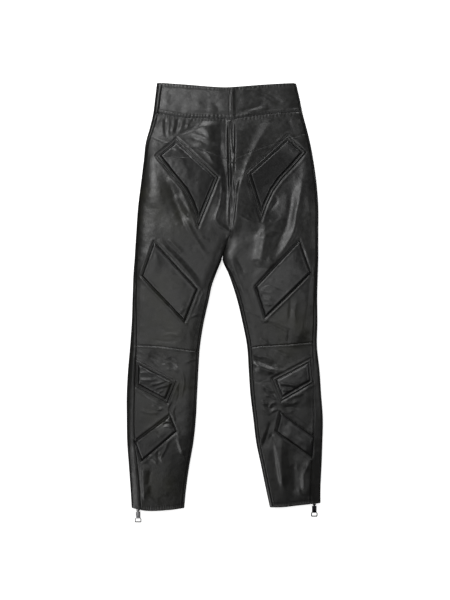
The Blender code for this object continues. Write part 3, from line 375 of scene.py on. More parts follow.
# Creases and swells of the padding, one set for each pad.
PAD_CREASES = {
    "hip_pad_left": (
        Fold(((-128, 392), (-160, 350), (-130, 300), (-100, 262), (-78, 220), (-66, 185)), 2.4, 14, 56),
        Fold(((-128, 372), (-112, 366), (-98, 368)), 0.4, 4, 4),
        Fold(((-66, 216), (-62, 206), (-66, 196)), 0.6, 2.4, 2.4),
        Fold(((-72, 222), (-66, 212)), 0.4, 2.2, 2.2),
    ),
    "hip_pad_right": (
        Fold(((190, 434), (148, 396), (100, 352), (55, 308), (10, 262)), 3.0, 9, 70),
        Fold(((98, 230), (92, 222), (90, 212)), 0.6, 2.4, 2.4),
        Fold(((86, 232), (84, 220)), 0.5, 2.2, 2.2),
        Fold(((60, 296), (68, 262), (76, 236)), 0.5, 3, 3),
    ),
    "thigh_pad_left": (
        Fold(((-142, 66), (-126, 68), (-112, 66)), 0.3, 2.6, 2.6),
        Fold(((-112, -28), (-98, -14), (-84, -6)), 0.6, 4, 4),
    ),
    "thigh_pad_right": (
        Fold(((140, 230), (178, 151), (205, 72), (236, -10)), 4.4, 120, 10),
        Fold(((84, 34), (104, 44), (126, 36), (152, 28)), -0.4, 2.6, 2.6),
        Fold(((80, 30), (100, 26), (120, 24)), 0.5, 2.4, 2.4),
        Fold(((84, 20), (102, 18), (118, 16)), -0.4, 2.2, 2.2),
        Fold(((90, 8), (108, 6), (126, 0)), 0.4, 2.6, 2.6),
        Fold(((92, -3), (108, -4), (118, -4)), 0.6, 2.4, 2.4),
        Fold(((106, 62), (130, 56), (148, 50)), -0.3, 3, 3),
        Fold(((112, 84), (134, 84), (156, 80)), -0.3, 3, 3),
    ),
    "knee_pad_left": (
        Fold(((-214, -132), (-216, -199)), 2.2, 8, 70),
        Fold(((-206, -168), (-184, -166), (-160, -170)), 0.9, 2.4, 2.4),
        Fold(((-206, -176), (-186, -176), (-164, -178)), -0.7, 2, 2),
        Fold(((-206, -184), (-184, -184), (-158, -182)), 0.9, 2.4, 2.4),
        Fold(((-180, -196), (-160, -192), (-140, -186)), 0.8, 2.2, 2.2),
        Fold(((-170, -206), (-152, -200), (-134, -196)), 0.8, 2.2, 2.2),
        Fold(((-158, -214), (-146, -208)), 0.7, 2.2, 2.2),
    ),
    "knee_pad_right": (
        Fold(((130, -192), (152, -194), (178, -200)), 1.0, 2.4, 2.6),
        Fold(((132, -199), (154, -201), (170, -204)), -0.9, 2.2, 2.2),
        Fold(((134, -207), (150, -208), (166, -208)), 1.1, 2.4, 2.4),
        Fold(((140, -216), (154, -217)), 0.8, 2.2, 2.2),
        Fold(((150, -170), (172, -172)), 0.4, 3, 3),
    ),
    "shin_pad_left": (
        Fold(((-162, -320), (-140, -306), (-120, -300)), 1.8, 14, 26),
        Fold(((-146, -284), (-134, -282), (-124, -284)), 0.9, 1.9, 1.9),
        Fold(((-148, -290), (-134, -288), (-122, -290)), -0.7, 1.9, 1.9),
        Fold(((-146, -296), (-134, -295), (-120, -297)), 0.8, 1.9, 1.9),
    ),
    "shin_pad_right": (
        Fold(((134, -316), (168, -334), (204, -362)), 3.2, 14, 46),
    ),
}

# Creases of the underside, where the back rests: troughs that leave the floor.
BACK_CREASES = (
    Fold(((-120, 212), (-70, 198), (-20, 206)), -2.2, 8, 8),
    Fold(((26, 210), (80, 196), (140, 214)), -2.4, 8, 8),
    Fold(((-96, 176), (-58, 160), (-22, 158)), -1.8, 7, 7),
    Fold(((16, 158), (62, 162), (106, 182)), -1.9, 7, 7),
    Fold(((-70, 420), (-84, 372), (-80, 330)), -1.4, 8, 8),
    Fold(((84, 424), (96, 376), (92, 330)), -1.5, 8, 8),
    Fold(((-180, 60), (-130, 40), (-80, 52)), -1.6, 8, 8),
    Fold(((70, 48), (130, 36), (184, 58)), -1.5, 8, 8),
    Fold(((-206, -126), (-150, -140), (-90, -130)), -2.2, 6, 6),
    Fold(((-200, -146), (-150, -158), (-96, -152)), -1.8, 5, 5),
    Fold(((-190, -112), (-140, -118), (-100, -112)), -1.5, 5, 5),
    Fold(((86, -122), (140, -134), (196, -124)), -2.3, 6, 6),
    Fold(((92, -144), (146, -152), (194, -142)), -1.9, 5, 5),
    Fold(((100, -106), (150, -112), (186, -104)), -1.4, 5, 5),
    Fold(((-190, -240), (-170, -300), (-176, -360)), -1.2, 9, 9),
    Fold(((120, -250), (146, -310), (150, -370)), -1.3, 9, 9),
    Fold(((-150, -400), (-156, -450)), -1.0, 8, 8),
    Fold(((166, -400), (172, -450)), -1.0, 8, 8),
    Fold(((-60, 300), (-66, 250)), -1.2, 9, 9),
    Fold(((66, 300), (74, 250)), -1.2, 9, 9),
)

# Where the aniline black shows a trace of olive, as x, y and radius.
WARM_SPOTS = (
    (-165, 235, 60), (-110, 200, 45), (-150, 20, 55), (-140, -60, 60), (165, -60, 60), (150, -110, 40),
    (-170, -270, 40), (-160, -440, 45), (-110, -200, 35),
)

# ---------------------------------------------------------------- sizes and colours that a user may change


class GarmentSizes(bpy.types.PropertyGroup):
    cell: FloatProperty(
        name="Cell", description="Length of a facet of the front's skins", default=1.9 * MM,
        min=1.5 * MM, max=8 * MM, unit="LENGTH")
    back_cell: FloatProperty(
        name="Back cell", description="Length of a facet of the back's skins", default=4.2 * MM,
        min=2 * MM, max=10 * MM, unit="LENGTH")
    crease_share: FloatProperty(
        name="Creases", description="Share of the finer creases' height", default=0.8, min=0, max=2,
        subtype="FACTOR")
    mottle: FloatProperty(
        name="Mottle", description="Height of the skin's soft unevenness", default=0.3 * MM, min=0,
        max=1 * MM, unit="LENGTH")
    seam_depth: FloatProperty(
        name="Seam depth", description="How deep a stitched seam draws the skin in", default=1.1 * MM, min=0,
        max=2 * MM, unit="LENGTH")
    pad_cell: FloatProperty(
        name="Pad cell", description="Length of a facet of a padded panel", default=1.9 * MM, min=1 * MM,
        max=6 * MM, unit="LENGTH")
    pad_roll: FloatProperty(
        name="Pad roll", description="Width of a pad's slanting edge", default=5 * MM, min=2 * MM,
        max=20 * MM, unit="LENGTH")


class StitchSizes(bpy.types.PropertyGroup):
    pitch: FloatProperty(
        name="Pitch", description="From one stitch to the next", default=3.4 * MM, min=1.5 * MM, max=8 * MM,
        unit="LENGTH")
    length: FloatProperty(
        name="Length", description="Length of one stitch", default=2.6 * MM, min=1 * MM, max=6 * MM,
        unit="LENGTH")
    thread: FloatProperty(
        name="Thread", description="Thickness of the thread", default=0.6 * MM, min=0.2 * MM, max=1.5 * MM,
        unit="LENGTH")


class ZipSizes(bpy.types.PropertyGroup):
    tooth_pitch: FloatProperty(
        name="Tooth pitch", description="From one tooth to the next", default=1.5 * MM, min=0.8 * MM,
        max=4 * MM, unit="LENGTH")
    edge_radius: FloatProperty(
        name="Edge radius", description="Rounding of the slider's and the pull's edges", default=0.25 * MM,
        min=0, max=0.5 * MM, unit="LENGTH")
    edge_steps: IntProperty(
        name="Edge steps", description="Facets across a rounded edge", default=2, min=1, max=4)


class Finishes(bpy.types.PropertyGroup):
    leather: StringProperty(name="Leather", description="sRGB colour of the lambskin", default="#151514")
    leather_warm: StringProperty(
        name="Olive trace", description="sRGB colour where it warms", default="#1c1c14")
    # painted shade: the colour that creases, grooves, seams and pad edges are darkened towards
    painted_shade_colour: StringProperty(
        name="In creases", description="sRGB colour in its hollows", default="#0a0a0a")
    padding: StringProperty(
        name="Padding", description="sRGB colour of the padded panels", default="#131313")
    thread: StringProperty(name="Thread", description="sRGB colour of the thread", default="#161616")
    tape: StringProperty(name="Tape", description="sRGB colour of the zip tape", default="#121212")
    metal: StringProperty(name="Metal", description="sRGB colour of the black nickel", default="#26262a")
    # painted light: a paler copy of the metal's colour for the left pull, for the light it catches
    painted_light_metal: StringProperty(
        name="Paler metal", description="sRGB colour of the paler pull", default="#8c8c8e")
    floor: StringProperty(name="Floor", description="sRGB colour of the floor", default="#fbfbfa")


class StageSizes(bpy.types.PropertyGroup):
    view_height: FloatProperty(
        name="View height", description="Height that the camera takes in", default=1.434, min=0.5, max=4,
        unit="LENGTH")
    focal_length: FloatProperty(
        name="Focal length", description="The camera's lens in millimetres", default=85.0, min=20, max=300,
        unit="CAMERA")
    centre: FloatVectorProperty(
        name="Centre", description="Point that the camera looks at", default=(0.0005, 0.007, 0.018), size=3,
        subtype="XYZ", unit="LENGTH")
    key: FloatProperty(
        name="Key light", description="Power of the light up to the left", default=18.5, unit="POWER")
    over: FloatProperty(
        name="Top light", description="Power of the light overhead", default=3.6, unit="POWER")
    waist: FloatProperty(
        name="Waist light", description="Power of the light at the waist", default=38.0, unit="POWER")
    feet: FloatProperty(
        name="Foot light", description="Power of the light at the left foot", default=10.0, unit="POWER")
    right: FloatProperty(
        name="Right light", description="Power of the light at the right", default=4.2, unit="POWER")
    ambient: FloatProperty(
        name="Ambient", description="Brightness of the room", default=0.04, min=0, max=4)
    glow: FloatProperty(
        name="Floor glow", description="Light that comes up through the floor", default=0.7, min=0, max=4)


SETTINGS = {
    "trousers_garment": GarmentSizes,
    "trousers_stitches": StitchSizes,
    "trousers_zips": ZipSizes,
    "trousers_finishes": Finishes,
    "trousers_stage": StageSizes,
}

# ---------------------------------------------------------------- shape of the garment


def smooth_step(value):
    """0 below 0, 1 above 1, with level ends."""
    t = np.clip(value, 0.0, 1.0)
    return t * t * (3.0 - 2.0 * t)


def smooth_curve(xs, ys, at):
    """Cubic curve through the points, with slopes taken from their neighbours."""
    xs, ys = np.asarray(xs, float), np.asarray(ys, float)
    at = np.clip(at, xs[0], xs[-1])
    slopes = np.gradient(ys, xs)
    i = np.clip(np.searchsorted(xs, at) - 1, 0, len(xs) - 2)
    width = xs[i + 1] - xs[i]
    t = (at - xs[i]) / width
    start = ys[i] * (1 + 2 * t) * (1 - t) ** 2 + slopes[i] * width * t * (1 - t) ** 2
    return start + ys[i + 1] * t * t * (3 - 2 * t) + slopes[i + 1] * width * t * t * (t - 1)


def cross_line(points, x):
    """y of a seam or an edge that runs across the garment, at x."""
    xs, ys = zip(*points)
    return smooth_curve(xs, ys, x)


class Side:
    """One half of the garment: its sections, and which way is in."""

    def __init__(self, name, sections, inward):
        self.name = name
        self.inward = inward
        self.rows = dict(zip(SECTION_COLUMNS, np.array(sections, float)[::-1].T))

    def at(self, column, y):
        return smooth_curve(self.rows["y"], self.rows[column], y)

    def outer_seam_x(self, y):
        return self.at("outer", y) + self.inward * self.at("outer_seam", y)

    def inner_seam_x(self, y):
        return self.at("inner", y) - self.inward * self.at("inner_seam", y)


LEFT = Side("left", LEFT_SECTIONS, 1)
RIGHT = Side("right", RIGHT_SECTIONS, -1)
SIDES = (LEFT, RIGHT)


def rise(distance):
    """How far the face has risen, 0 to 1, at a distance inside a fold."""
    t = 1.0 - np.clip(distance / ROLL, 0.0, 1.0)
    return (1.0 - t ** ROLL_POWER) ** (1.0 / ROLL_POWER)


LINE_STEPS = 5         # stretches that a fold's line is rounded into between two of its points
FOLD_REACH = 3.0       # a fold is worked out as far as this many half widths from its line
BLUNT_END = 0.25       # a fold's taper has this much of its way behind it where the fold's line ends


def rounded_line(points):
    """A fold's line, rounded at its points."""
    points = np.array(points, float)
    marks = np.arange(len(points))
    at = np.linspace(0, marks[-1], LINE_STEPS * marks[-1] + 1)
    return np.stack([smooth_curve(marks, points[:, 0], at), smooth_curve(marks, points[:, 1], at)], axis=-1)


def fold_height(fold, x, y):
    """Height that one fold adds at (x, y), worked out only where it reaches."""
    reach = FOLD_REACH * max(fold.west, fold.east)
    line = rounded_line(fold.points)
    low, high = line.min(axis=0) - reach, line.max(axis=0) + reach
    near = (x > low[0]) & (x < high[0]) & (y > low[1]) & (y < high[1])
    added = np.zeros(np.shape(x))
    if not near.any():
        return added
    px, py = x[near], y[near]
    steps = np.diff(line, axis=0)
    lengths = np.hypot(*steps.T)
    total, walked = lengths.sum(), 0.0
    nearest, side, along = np.full(px.shape, np.inf), np.zeros(px.shape), np.zeros(px.shape)
    for start, step, length in zip(line, steps, lengths):
        dx, dy = px - start[0], py - start[1]
        t = np.clip((dx * step[0] + dy * step[1]) / length ** 2, 0.0, 1.0)
        distance = np.hypot(dx - t * step[0], dy - t * step[1])
        closer = distance < nearest
        nearest = np.where(closer, distance, nearest)
        side = np.where(closer, (step[0] * dy - step[1] * dx) / length, side)
        along = np.where(closer, walked + t * length, along)
        walked += length
    east_share = 0.5 + 0.5 * side / np.maximum(nearest, 1e-6)
    half_width = fold.west + (fold.east - fold.west) * east_share
    taper = smooth_step(np.minimum(along, total - along) / (FOLD_TAPER * total) + BLUNT_END)
    added[near] = fold.height * taper * np.exp(-(nearest / half_width) ** 2)
    return added


def inside_edges(side, x, y):
    """How far points lie inside the outer and the inner edge of one half."""
    from_outer = np.maximum((x - side.at("outer", y)) * side.inward, 0.0)
    from_inner = np.maximum((side.at("inner", y) - x) * side.inward, 0.0)
    return from_outer, from_inner


def edge_fade(y, from_outer, from_inner, width):
    """0 at a side fold and 1 a width away from it; above the fork, the inner edge is no fold."""
    below_fork = smooth_step((FORK - y) / FORK_FADE)
    return smooth_step(from_outer / width) * (1.0 - below_fork + below_fork * smooth_step(from_inner / width))


def main_height(side, x, y, folds=MAIN_FOLDS):
    """Height of the upper face with its main folds; those of the solids unless others are given."""
    loft = side.at("loft", y)
    level = FOLD_LEVEL * loft
    from_outer, from_inner = inside_edges(side, x, y)
    fork = smooth_step((FORK_TOP - y) / (FORK_TOP - FORK))
    softened = np.hypot(from_inner, FORK_SOFTNESS * (1.0 - fork)) * (1.0 + (1.0 - fork))
    valley = 1.0 - fork + fork * rise(softened)
    height = level + (loft - level) * rise(from_outer) * valley
    fade = edge_fade(y, from_outer, from_inner, FOLD_FADE)
    for fold in folds:
        height = height + fade * fold_height(fold, x, y)
    return height


NOISE_TABLE = 64


def unevenness(x, y, size, seed):
    """Smooth lumps and dips between -1 and 1, each about size across."""
    table = np.random.default_rng(seed).uniform(-1.0, 1.0, (NOISE_TABLE, NOISE_TABLE))
    u, v = x / size, y / size
    i, j = np.floor(u).astype(int), np.floor(v).astype(int)
    s, t = smooth_step(u - i), smooth_step(v - j)
    i0, j0, i1, j1 = i % NOISE_TABLE, j % NOISE_TABLE, (i + 1) % NOISE_TABLE, (j + 1) % NOISE_TABLE
    low = table[i0, j0] * (1 - s) + table[i1, j0] * s
    high = table[i0, j1] * (1 - s) + table[i1, j1] * s
    return low * (1 - t) + high * t


def bell(distance, width):
    return np.exp(-(distance / width) ** 2)


def puckers(along, pitch, seed):
    """Uneven waves along a seam, -1 to 1."""
    drift = unevenness(along, 0.0 * along, 3.0 * pitch, seed)
    strength = 0.65 + 0.35 * unevenness(along, 0.0 * along + 5.0, 2.0 * pitch, seed + 1)
    return strength * np.sin(2.0 * math.pi * (along / pitch + 0.8 * drift))


ROPE_LEVEL = 5.0       # the puffed strip's middle, above the waist seam
HEM_ROWS = (6.0, 9.0)  # the hem's stitches, above its edge
WAIST_ROW = 7.0        # the waistband's upper stitches, below its edge
SEAM_ROW = 2.8         # other stitches, beside their seam

# Grooves: line that each follows, place up or in from it, depth as a share of a seam's, and half width.
GROOVES = (
    ("waist", SEAM_ROW, 0.3, 1.1),
    ("top", -WAIST_ROW, 0.5, 1.4),
    ("yoke", 0.0, 0.3, 1.5),
    ("knee", 0.0, 1.0, 1.6),
    ("hem", HEM_ROWS[0], 0.45, 1.2),
    ("hem", HEM_ROWS[1], 0.45, 1.2),
    ("outer", 0.0, 1.0, 1.6),
)
WAIST_GROOVE = 0.6     # depth of the waist seam's groove, as a share of a seam's
WAIST_BELOW = 1.6      # its half width below the seam
WAIST_ABOVE = 3.2      # and above it, as for the puffed strip

# Ridges beside seams: line, place, height and half width.
RIDGES = (
    ("yoke", -3.4, 0.12, 2.4),
    ("knee", -2.6, 0.6, 1.8),
    ("outer", 3.2, 0.4, 2.0),
)
# Puckered strips: line, place, height, pitch, seed and half width.
PUCKERED = (
    ("waist", -4.0, 0.35, 8.0, 13, 4.0),
    ("top", -4.0, 0.4, 7.0, 17, 4.0),
    ("yoke", -3.4, 0.1, 6.0, 19, 2.4),
    ("yoke", 3.0, 0.1, 6.0, 23, 3.0),
    ("knee", 0.0, 0.15, 9.0, 29, 5.0),
    ("hem", 5.0, 0.35, 5.5, 31, 5.0),
)
ROPE_HEIGHT = (0.75, 0.5)    # height of the puffed strip, and how much it gains to the left
ROPE_WAVES = (0.25, 0.35)    # the same for its puckers
ROPE_PITCH = 7.5
ROPE_FROM = 60.0       # the strip grows fuller from here to the left, over ROPE_SPAN
ROPE_SPAN = 120.0
INNER_RIDGE = 0.5      # height of the ridge beside the inner seam
INNER_PLACE = 3.0      # its distance from the seam
INNER_WIDTH = 1.8      # its half width
INNER_GROOVE = 1.5     # half width of the inner seam's groove
INNER_FADE = 20.0      # the inner seam deepens over this length below the fork


def waist_rope(x, above_waist):
    """The puffed strip along the waistband's lower edge."""
    left_share = smooth_step((ROPE_FROM - x) / ROPE_SPAN)
    height, waves = (low + gain * left_share for low, gain in (ROPE_HEIGHT, ROPE_WAVES))
    fullness = 1.0 + waves * puckers(x, ROPE_PITCH, 11)
    return height * fullness * bell(above_waist - ROPE_LEVEL, WAIST_ABOVE)


def seam_relief(side, x, y, depth):
    """How the seams and rows of stitches draw the skin in and pucker it."""
    lines = {
        "top": WAIST_TOP, "waist": WAIST_SEAM, "yoke": YOKE_SEAM[side.name], "knee": KNEE_SEAM[side.name],
        "hem": HEM[side.name],
    }
    away = {name: y - cross_line(line, x) for name, line in lines.items()}
    away["outer"] = (x - side.outer_seam_x(y)) * side.inward
    waist_width = np.where(away["waist"] > 0.0, WAIST_ABOVE, WAIST_BELOW)
    z = waist_rope(x, away["waist"]) - WAIST_GROOVE * depth * bell(away["waist"], waist_width)
    for line, place, share, width in GROOVES:
        z -= share * depth * bell(away[line] - place, width)
    for line, place, height, width in RIDGES:
        z += height * bell(away[line] - place, width)
    for line, place, height, pitch, seed, width in PUCKERED:
        z += height * puckers(x, pitch, seed) * bell(away[line] - place, width)
    from_inner = (side.inner_seam_x(y) - x) * side.inward
    below_fork = smooth_step((FORK - y) / INNER_FADE)
    z -= depth * (0.5 + 0.5 * below_fork) * bell(from_inner, INNER_GROOVE)
    return z + INNER_RIDGE * below_fork * bell(from_inner - INNER_PLACE, INNER_WIDTH)


def ring_of(sides):
    return np.array([point for run in sides for point in run], float)


def outline_place(x, y, ring):
    """Distance from each point to a closed outline, and how far round the outline the nearest place is."""
    nearest, along, walked = np.full(np.shape(x), np.inf), np.zeros(np.shape(x)), 0.0
    for (x0, y0), (x1, y1) in zip(ring, np.roll(ring, -1, axis=0)):
        sx, sy = x1 - x0, y1 - y0
        t = np.clip(((x - x0) * sx + (y - y0) * sy) / (sx * sx + sy * sy), 0.0, 1.0)
        distance = np.hypot(x - x0 - t * sx, y - y0 - t * sy)
        along = np.where(distance < nearest, walked + t * math.hypot(sx, sy), along)
        nearest = np.minimum(nearest, distance)
        walked += math.hypot(sx, sy)
    return nearest, along


PAD_GROOVE = 1.5       # half width of the groove round a padded panel
PAD_TUCK = 1.1         # its depth, as a share of a seam's
PAD_RIDGE = 0.45       # height of the ridge beyond the groove
PAD_RIDGE_PLACE = 5.5  # its distance from the pad's outline
PAD_RIDGE_WIDTH = 3.0  # its half width
PAD_REACH = 8.0        # a pad's stitching draws the skin in this far around


def pad_relief(side, x, y, depth):
    """The stitched grooves round the padded panels, and the skin's slight rise beyond them."""
    z = np.zeros(np.shape(x))
    for pad in PADS:
        if not pad.name.endswith(side.name):
            continue
        ring = ring_of(pad.sides)
        low, high = ring.min(axis=0) - 3 * PAD_REACH, ring.max(axis=0) + 3 * PAD_REACH
        near = (x > low[0]) & (x < high[0]) & (y > low[1]) & (y < high[1])
        if near.any():
            distance, _ = outline_place(x[near], y[near], ring)
            z[near] -= PAD_TUCK * depth * bell(distance, PAD_GROOVE)
            z[near] += PAD_RIDGE * bell(distance - PAD_RIDGE_PLACE, PAD_RIDGE_WIDTH)
    return z


# The skin's soft unevenness: height as a share of the mottle, size of its lumps and seed.
LUMPS = ((1.3, 34.0, 3), (0.8, 15.0, 5), (0.35, 7.0, 7))
HOLLOW_FROM = 0.25     # a hollow is shaded from this depth on
HOLLOW_RANGE = 1.3     # and fully so this much deeper
WAIST_SHADE = 2.4      # half width of the shade along the waist seam


def face(side, x, y, seams=True):
    """Height of the finished upper face, and the painted shade of its hollows and its waist seam, 0 to 1."""
    x, y = np.broadcast_arrays(np.asarray(x, float), np.asarray(y, float))
    sizes = bpy.context.scene.trousers_garment
    depth, mottle = sizes.seam_depth / MM, sizes.mottle / MM
    fade = edge_fade(y, *inside_edges(side, x, y), CREASE_FADE)
    fine, drape = (sum(fold_height(fold, x, y) for fold in folds) for folds in (CREASES, DRAPE))
    relief = fade * (sizes.crease_share * fine + drape) + pad_relief(side, x, y, depth)
    if seams:
        relief = relief + seam_relief(side, x, y, depth)
    lumps = sum(share * unevenness(x, y, size, seed) for share, size, seed in LUMPS)
    # painted shade: the colour is darkened in the creases and grooves, and along the waist seam, where shade
    # falls
    hollow = smooth_step((-relief - HOLLOW_FROM) / HOLLOW_RANGE)
    hollow = np.maximum(hollow, bell(y - cross_line(WAIST_SEAM, x), WAIST_SHADE))
    return main_height(side, x, y, SKIN_FOLDS) + relief + fade * mottle * lumps, hollow


def warmth(x, y):
    """Where the black warms to olive, 0 to 1."""
    share = np.zeros(np.shape(x))
    for spot_x, spot_y, radius in WARM_SPOTS:
        share = np.maximum(share, bell(np.hypot(x - spot_x, y - spot_y), radius))
    return np.clip(share * (0.8 + 0.5 * unevenness(x, y, 22.0, 37)), 0.0, 1.0)


# ---------------------------------------------------------------- making meshes


def grid_normals(points):
    """Unit normals of a grid of points, all towards the same side."""
    down, across = np.gradient(points, axis=0), np.gradient(points, axis=1)
    normals = np.cross(across, down)
    return normals / np.maximum(np.linalg.norm(normals, axis=-1, keepdims=True), 1e-9)


SHARP_ANGLE = math.radians(55.0)


def linked(name, mesh):
    """The object that shows a mesh, smooth up to its sharp edges."""
    mesh.shade_smooth()
    mesh.set_sharp_from_angle(angle=SHARP_ANGLE)
    made = bpy.data.objects.new(name, mesh)
    bpy.context.scene.collection.objects.link(made)
    return made


def new_piece(name, points, faces, material, marks=None):
    """Links an object from points in millimetres, with its marks as attributes."""
    mesh = bpy.data.meshes.new(name)
    mesh.from_pydata((np.asarray(points) * MM).tolist(), [], faces)
    for mark, values in (marks or {}).items():
        layer = mesh.attributes.new(mark, "FLOAT", "POINT")
        layer.data.foreach_set("value", np.asarray(values, np.float32).ravel())
    mesh.materials.append(material)
    return linked(name, mesh)


def shell_faces(rows, columns, flip):
    """Faces of a closed wall between two grids: the outer one's points come first."""
    index = np.arange(rows * columns).reshape(rows, columns)
    corners = [index[:-1, :-1], index[:-1, 1:], index[1:, 1:], index[1:, :-1]]
    outer = np.stack([corner.ravel() for corner in corners], axis=-1)
    inner = outer[:, ::-1] + rows * columns
    loop = np.concatenate([index[0, :-1], index[:-1, -1], index[-1, :0:-1], index[:0:-1, 0]])
    after = np.roll(loop, -1)
    rim = np.stack([after, loop, loop + rows * columns, after + rows * columns], axis=-1)
    faces = np.concatenate([outer, inner, rim])
    return (faces[:, ::-1] if flip else faces).tolist()


def shell(name, outer, inner, material, hollow=None):
    """A closed thin piece between two grids of points."""
    rows, columns = outer.shape[:2]
    middle = (rows // 2, columns // 2)
    flip = float(grid_normals(outer)[middle] @ (outer - inner)[middle]) > 0
    points = np.concatenate([outer.reshape(-1, 3), inner.reshape(-1, 3)])
    hollow = np.zeros((rows, columns)) if hollow is None else hollow
    warm = warmth(outer[..., 0], outer[..., 1])
    marks = {
        "hollow": np.concatenate([hollow.ravel(), np.zeros(hollow.size)]),
        "warm": np.concatenate([warm.ravel(), warm.ravel()]),
    }
    return new_piece(name, points, shell_faces(rows, columns, not flip), material, marks)


def dress(piece, node, body=GARMENT):
    """Lets a piece stand for a solid and move with its body."""
    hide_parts(node)
    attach(piece, body)


# ---------------------------------------------------------------- the front's skins


FEWEST_CELLS = 6       # across or down a skin
SETTLINGS = 6          # rounds in which x and y settle on seams that slant


def front_grid(side, top_line, bottom_line, closure=None):
    """x and y of a skin's points: rows from its upper seam to its lower one, columns from the outer seam."""
    cell = bpy.context.scene.trousers_garment.cell / MM
    middle_x = 0.5 * float(side.outer_seam_x(0.0) + side.inner_seam_x(0.0))
    top, bottom = (float(cross_line(line, middle_x)) for line in (top_line, bottom_line))
    levels = np.linspace(bottom, top, 9)
    widest = float(np.abs(side.outer_seam_x(levels) - side.inner_seam_x(levels)).max())
    across = np.linspace(0.0, 1.0, max(FEWEST_CELLS, round(widest / cell)) + 1)
    down = np.linspace(0.0, 1.0, max(FEWEST_CELLS, round((top - bottom) / cell)) + 1)[:, None]
    half_gap = 0.5 * SEAM_GAP
    y = np.full(len(across), top) + (bottom - top) * down
    for _ in range(SETTLINGS):
        outer_x = side.outer_seam_x(y) + side.inward * (half_gap + CHORD_ROOM)
        inner_x = (side.inner_seam_x(y) - side.inward * CHORD_ROOM) if closure is None else closure
        inner_x = inner_x - side.inward * half_gap
        x = outer_x + (inner_x - outer_x) * across
        y = cross_line(top_line, x) - half_gap
        y = y + (cross_line(bottom_line, x) + half_gap - y) * down
    return x, y


def front_skin(name, side, lines, wall=LEATHER, proud=0.0, closure=None):
    """A skin of the front, between two seams, which replaces the solid of the same name."""
    x, y = front_grid(side, *lines, closure)
    z, hollow = face(side, x, y)
    outer = np.stack([x, y, z + proud], axis=-1)
    normals = grid_normals(outer)
    normals *= np.sign(normals[..., 2:])
    made = shell(f"{name}_skin", outer, outer - wall * normals, finish("glazed_lambskin"), hollow)
    dress(made, name)
    cut = np.stack([x, y, main_height(side, x, y)], axis=-1)


# ---------------------------------------------------------------- the back's skins

FLAP_POINTS = 9        # columns from a seam on the upper face to its fold
FLAP_SPACING = 0.8     # power that sets those columns closer together towards the fold
ROUND_POINTS = 9       # columns from the fold to where the underside is flat
CENTRE_SPREAD = 60.0   # on the underside, the columns beside the centre-back seam cover this width
FORK_BLEND = (-1.0, 13.0)   # between these heights from the fork, the inner fold opens into the centre seam
LINE_REACH = 80.0      # within this distance, rows bend to follow the waist seam or the hem
BACK_TOP = 453.0       # y of a leg back's first and last rows before they bend
BACK_BOTTOM = -495.0
BACK_SEAM_ENDS = (-158.0, 172.0)   # between these x, the waist seam is straight on the back
BACK_DROP = 1.0        # the waistband's upper edge is this much lower on the back
PROUD_LEVEL = 6.0      # from this height up, the waistband's back is as proud as its front
BACK_BAND_ENDS = (526.0, 456.0)    # y at which the band's side folds start and end
FLAT_WIDTH = 170.0     # a leg back's flat part is about this wide
BAND_HEIGHT = 70.0
BAND_WIDTH = 300.0
RESTING = 3.0          # a point lower than this takes its share of the underside's creases
LEG_LUMPS = (0.35, 26.0, 41)       # height, size and seed of the underside's unevenness
BAND_LUMPS = (0.3, 24.0, 43)
SEAM_SHADE = 1.8       # half width of the shade along a seam


def back_waist_line(x):
    """y of the waist seam on the back: the front's curve at the folds, straight along the underside."""
    ends = [float(cross_line(WAIST_SEAM, end)) for end in BACK_SEAM_ENDS]
    straight = np.interp(x, BACK_SEAM_ENDS, ends)
    return np.where((x > BACK_SEAM_ENDS[0]) & (x < BACK_SEAM_ENDS[1]), straight, cross_line(WAIST_SEAM, x))


def fold_columns(side, y, edge, inset, outward):
    """Points from a seam on the upper face, round a fold, to the flat underside, with their y given."""
    shares = np.linspace(0.0, 1.0, FLAP_POINTS + 1)[:-1] ** FLAP_SPACING
    flap_y = y[:, :FLAP_POINTS]
    flap_x = edge(flap_y) - outward * inset(flap_y) * (1.0 - shares)
    flap_z, _ = face(side, flap_x, flap_y)
    turn = np.linspace(0.0, 0.5 * math.pi, ROUND_POINTS)
    round_y = y[:, FLAP_POINTS:]
    round_x = edge(round_y) - outward * UNDER_ROLL * (1.0 - np.cos(turn))
    round_z = FOLD_LEVEL * side.at("loft", round_y) * (1.0 - np.sin(turn))
    xs, zs = np.concatenate([flap_x, round_x], axis=1), np.concatenate([flap_z, round_z], axis=1)
    return np.stack([xs, y, zs], axis=-1)


def centre_back_x(y):
    """The centre-back seam runs from the waist to the fork."""
    fork_x = float(LEFT.at("inner", FORK))
    return fork_x + (CENTRE_BACK - fork_x) * (y - FORK) / (LEFT.rows["y"][-1] - FORK)


def raised_lumps(x, y, height, size, seed):
    """Lumps that stand off the floor."""
    return height * np.clip(unevenness(x, y, size, seed), 0.0, 1.0)


def under_relief(x, y):
    """How far the underside leaves the floor: its creases and its slight unevenness."""
    return raised_lumps(x, y, *LEG_LUMPS) - sum(fold_height(crease, x, y) for crease in BACK_CREASES)


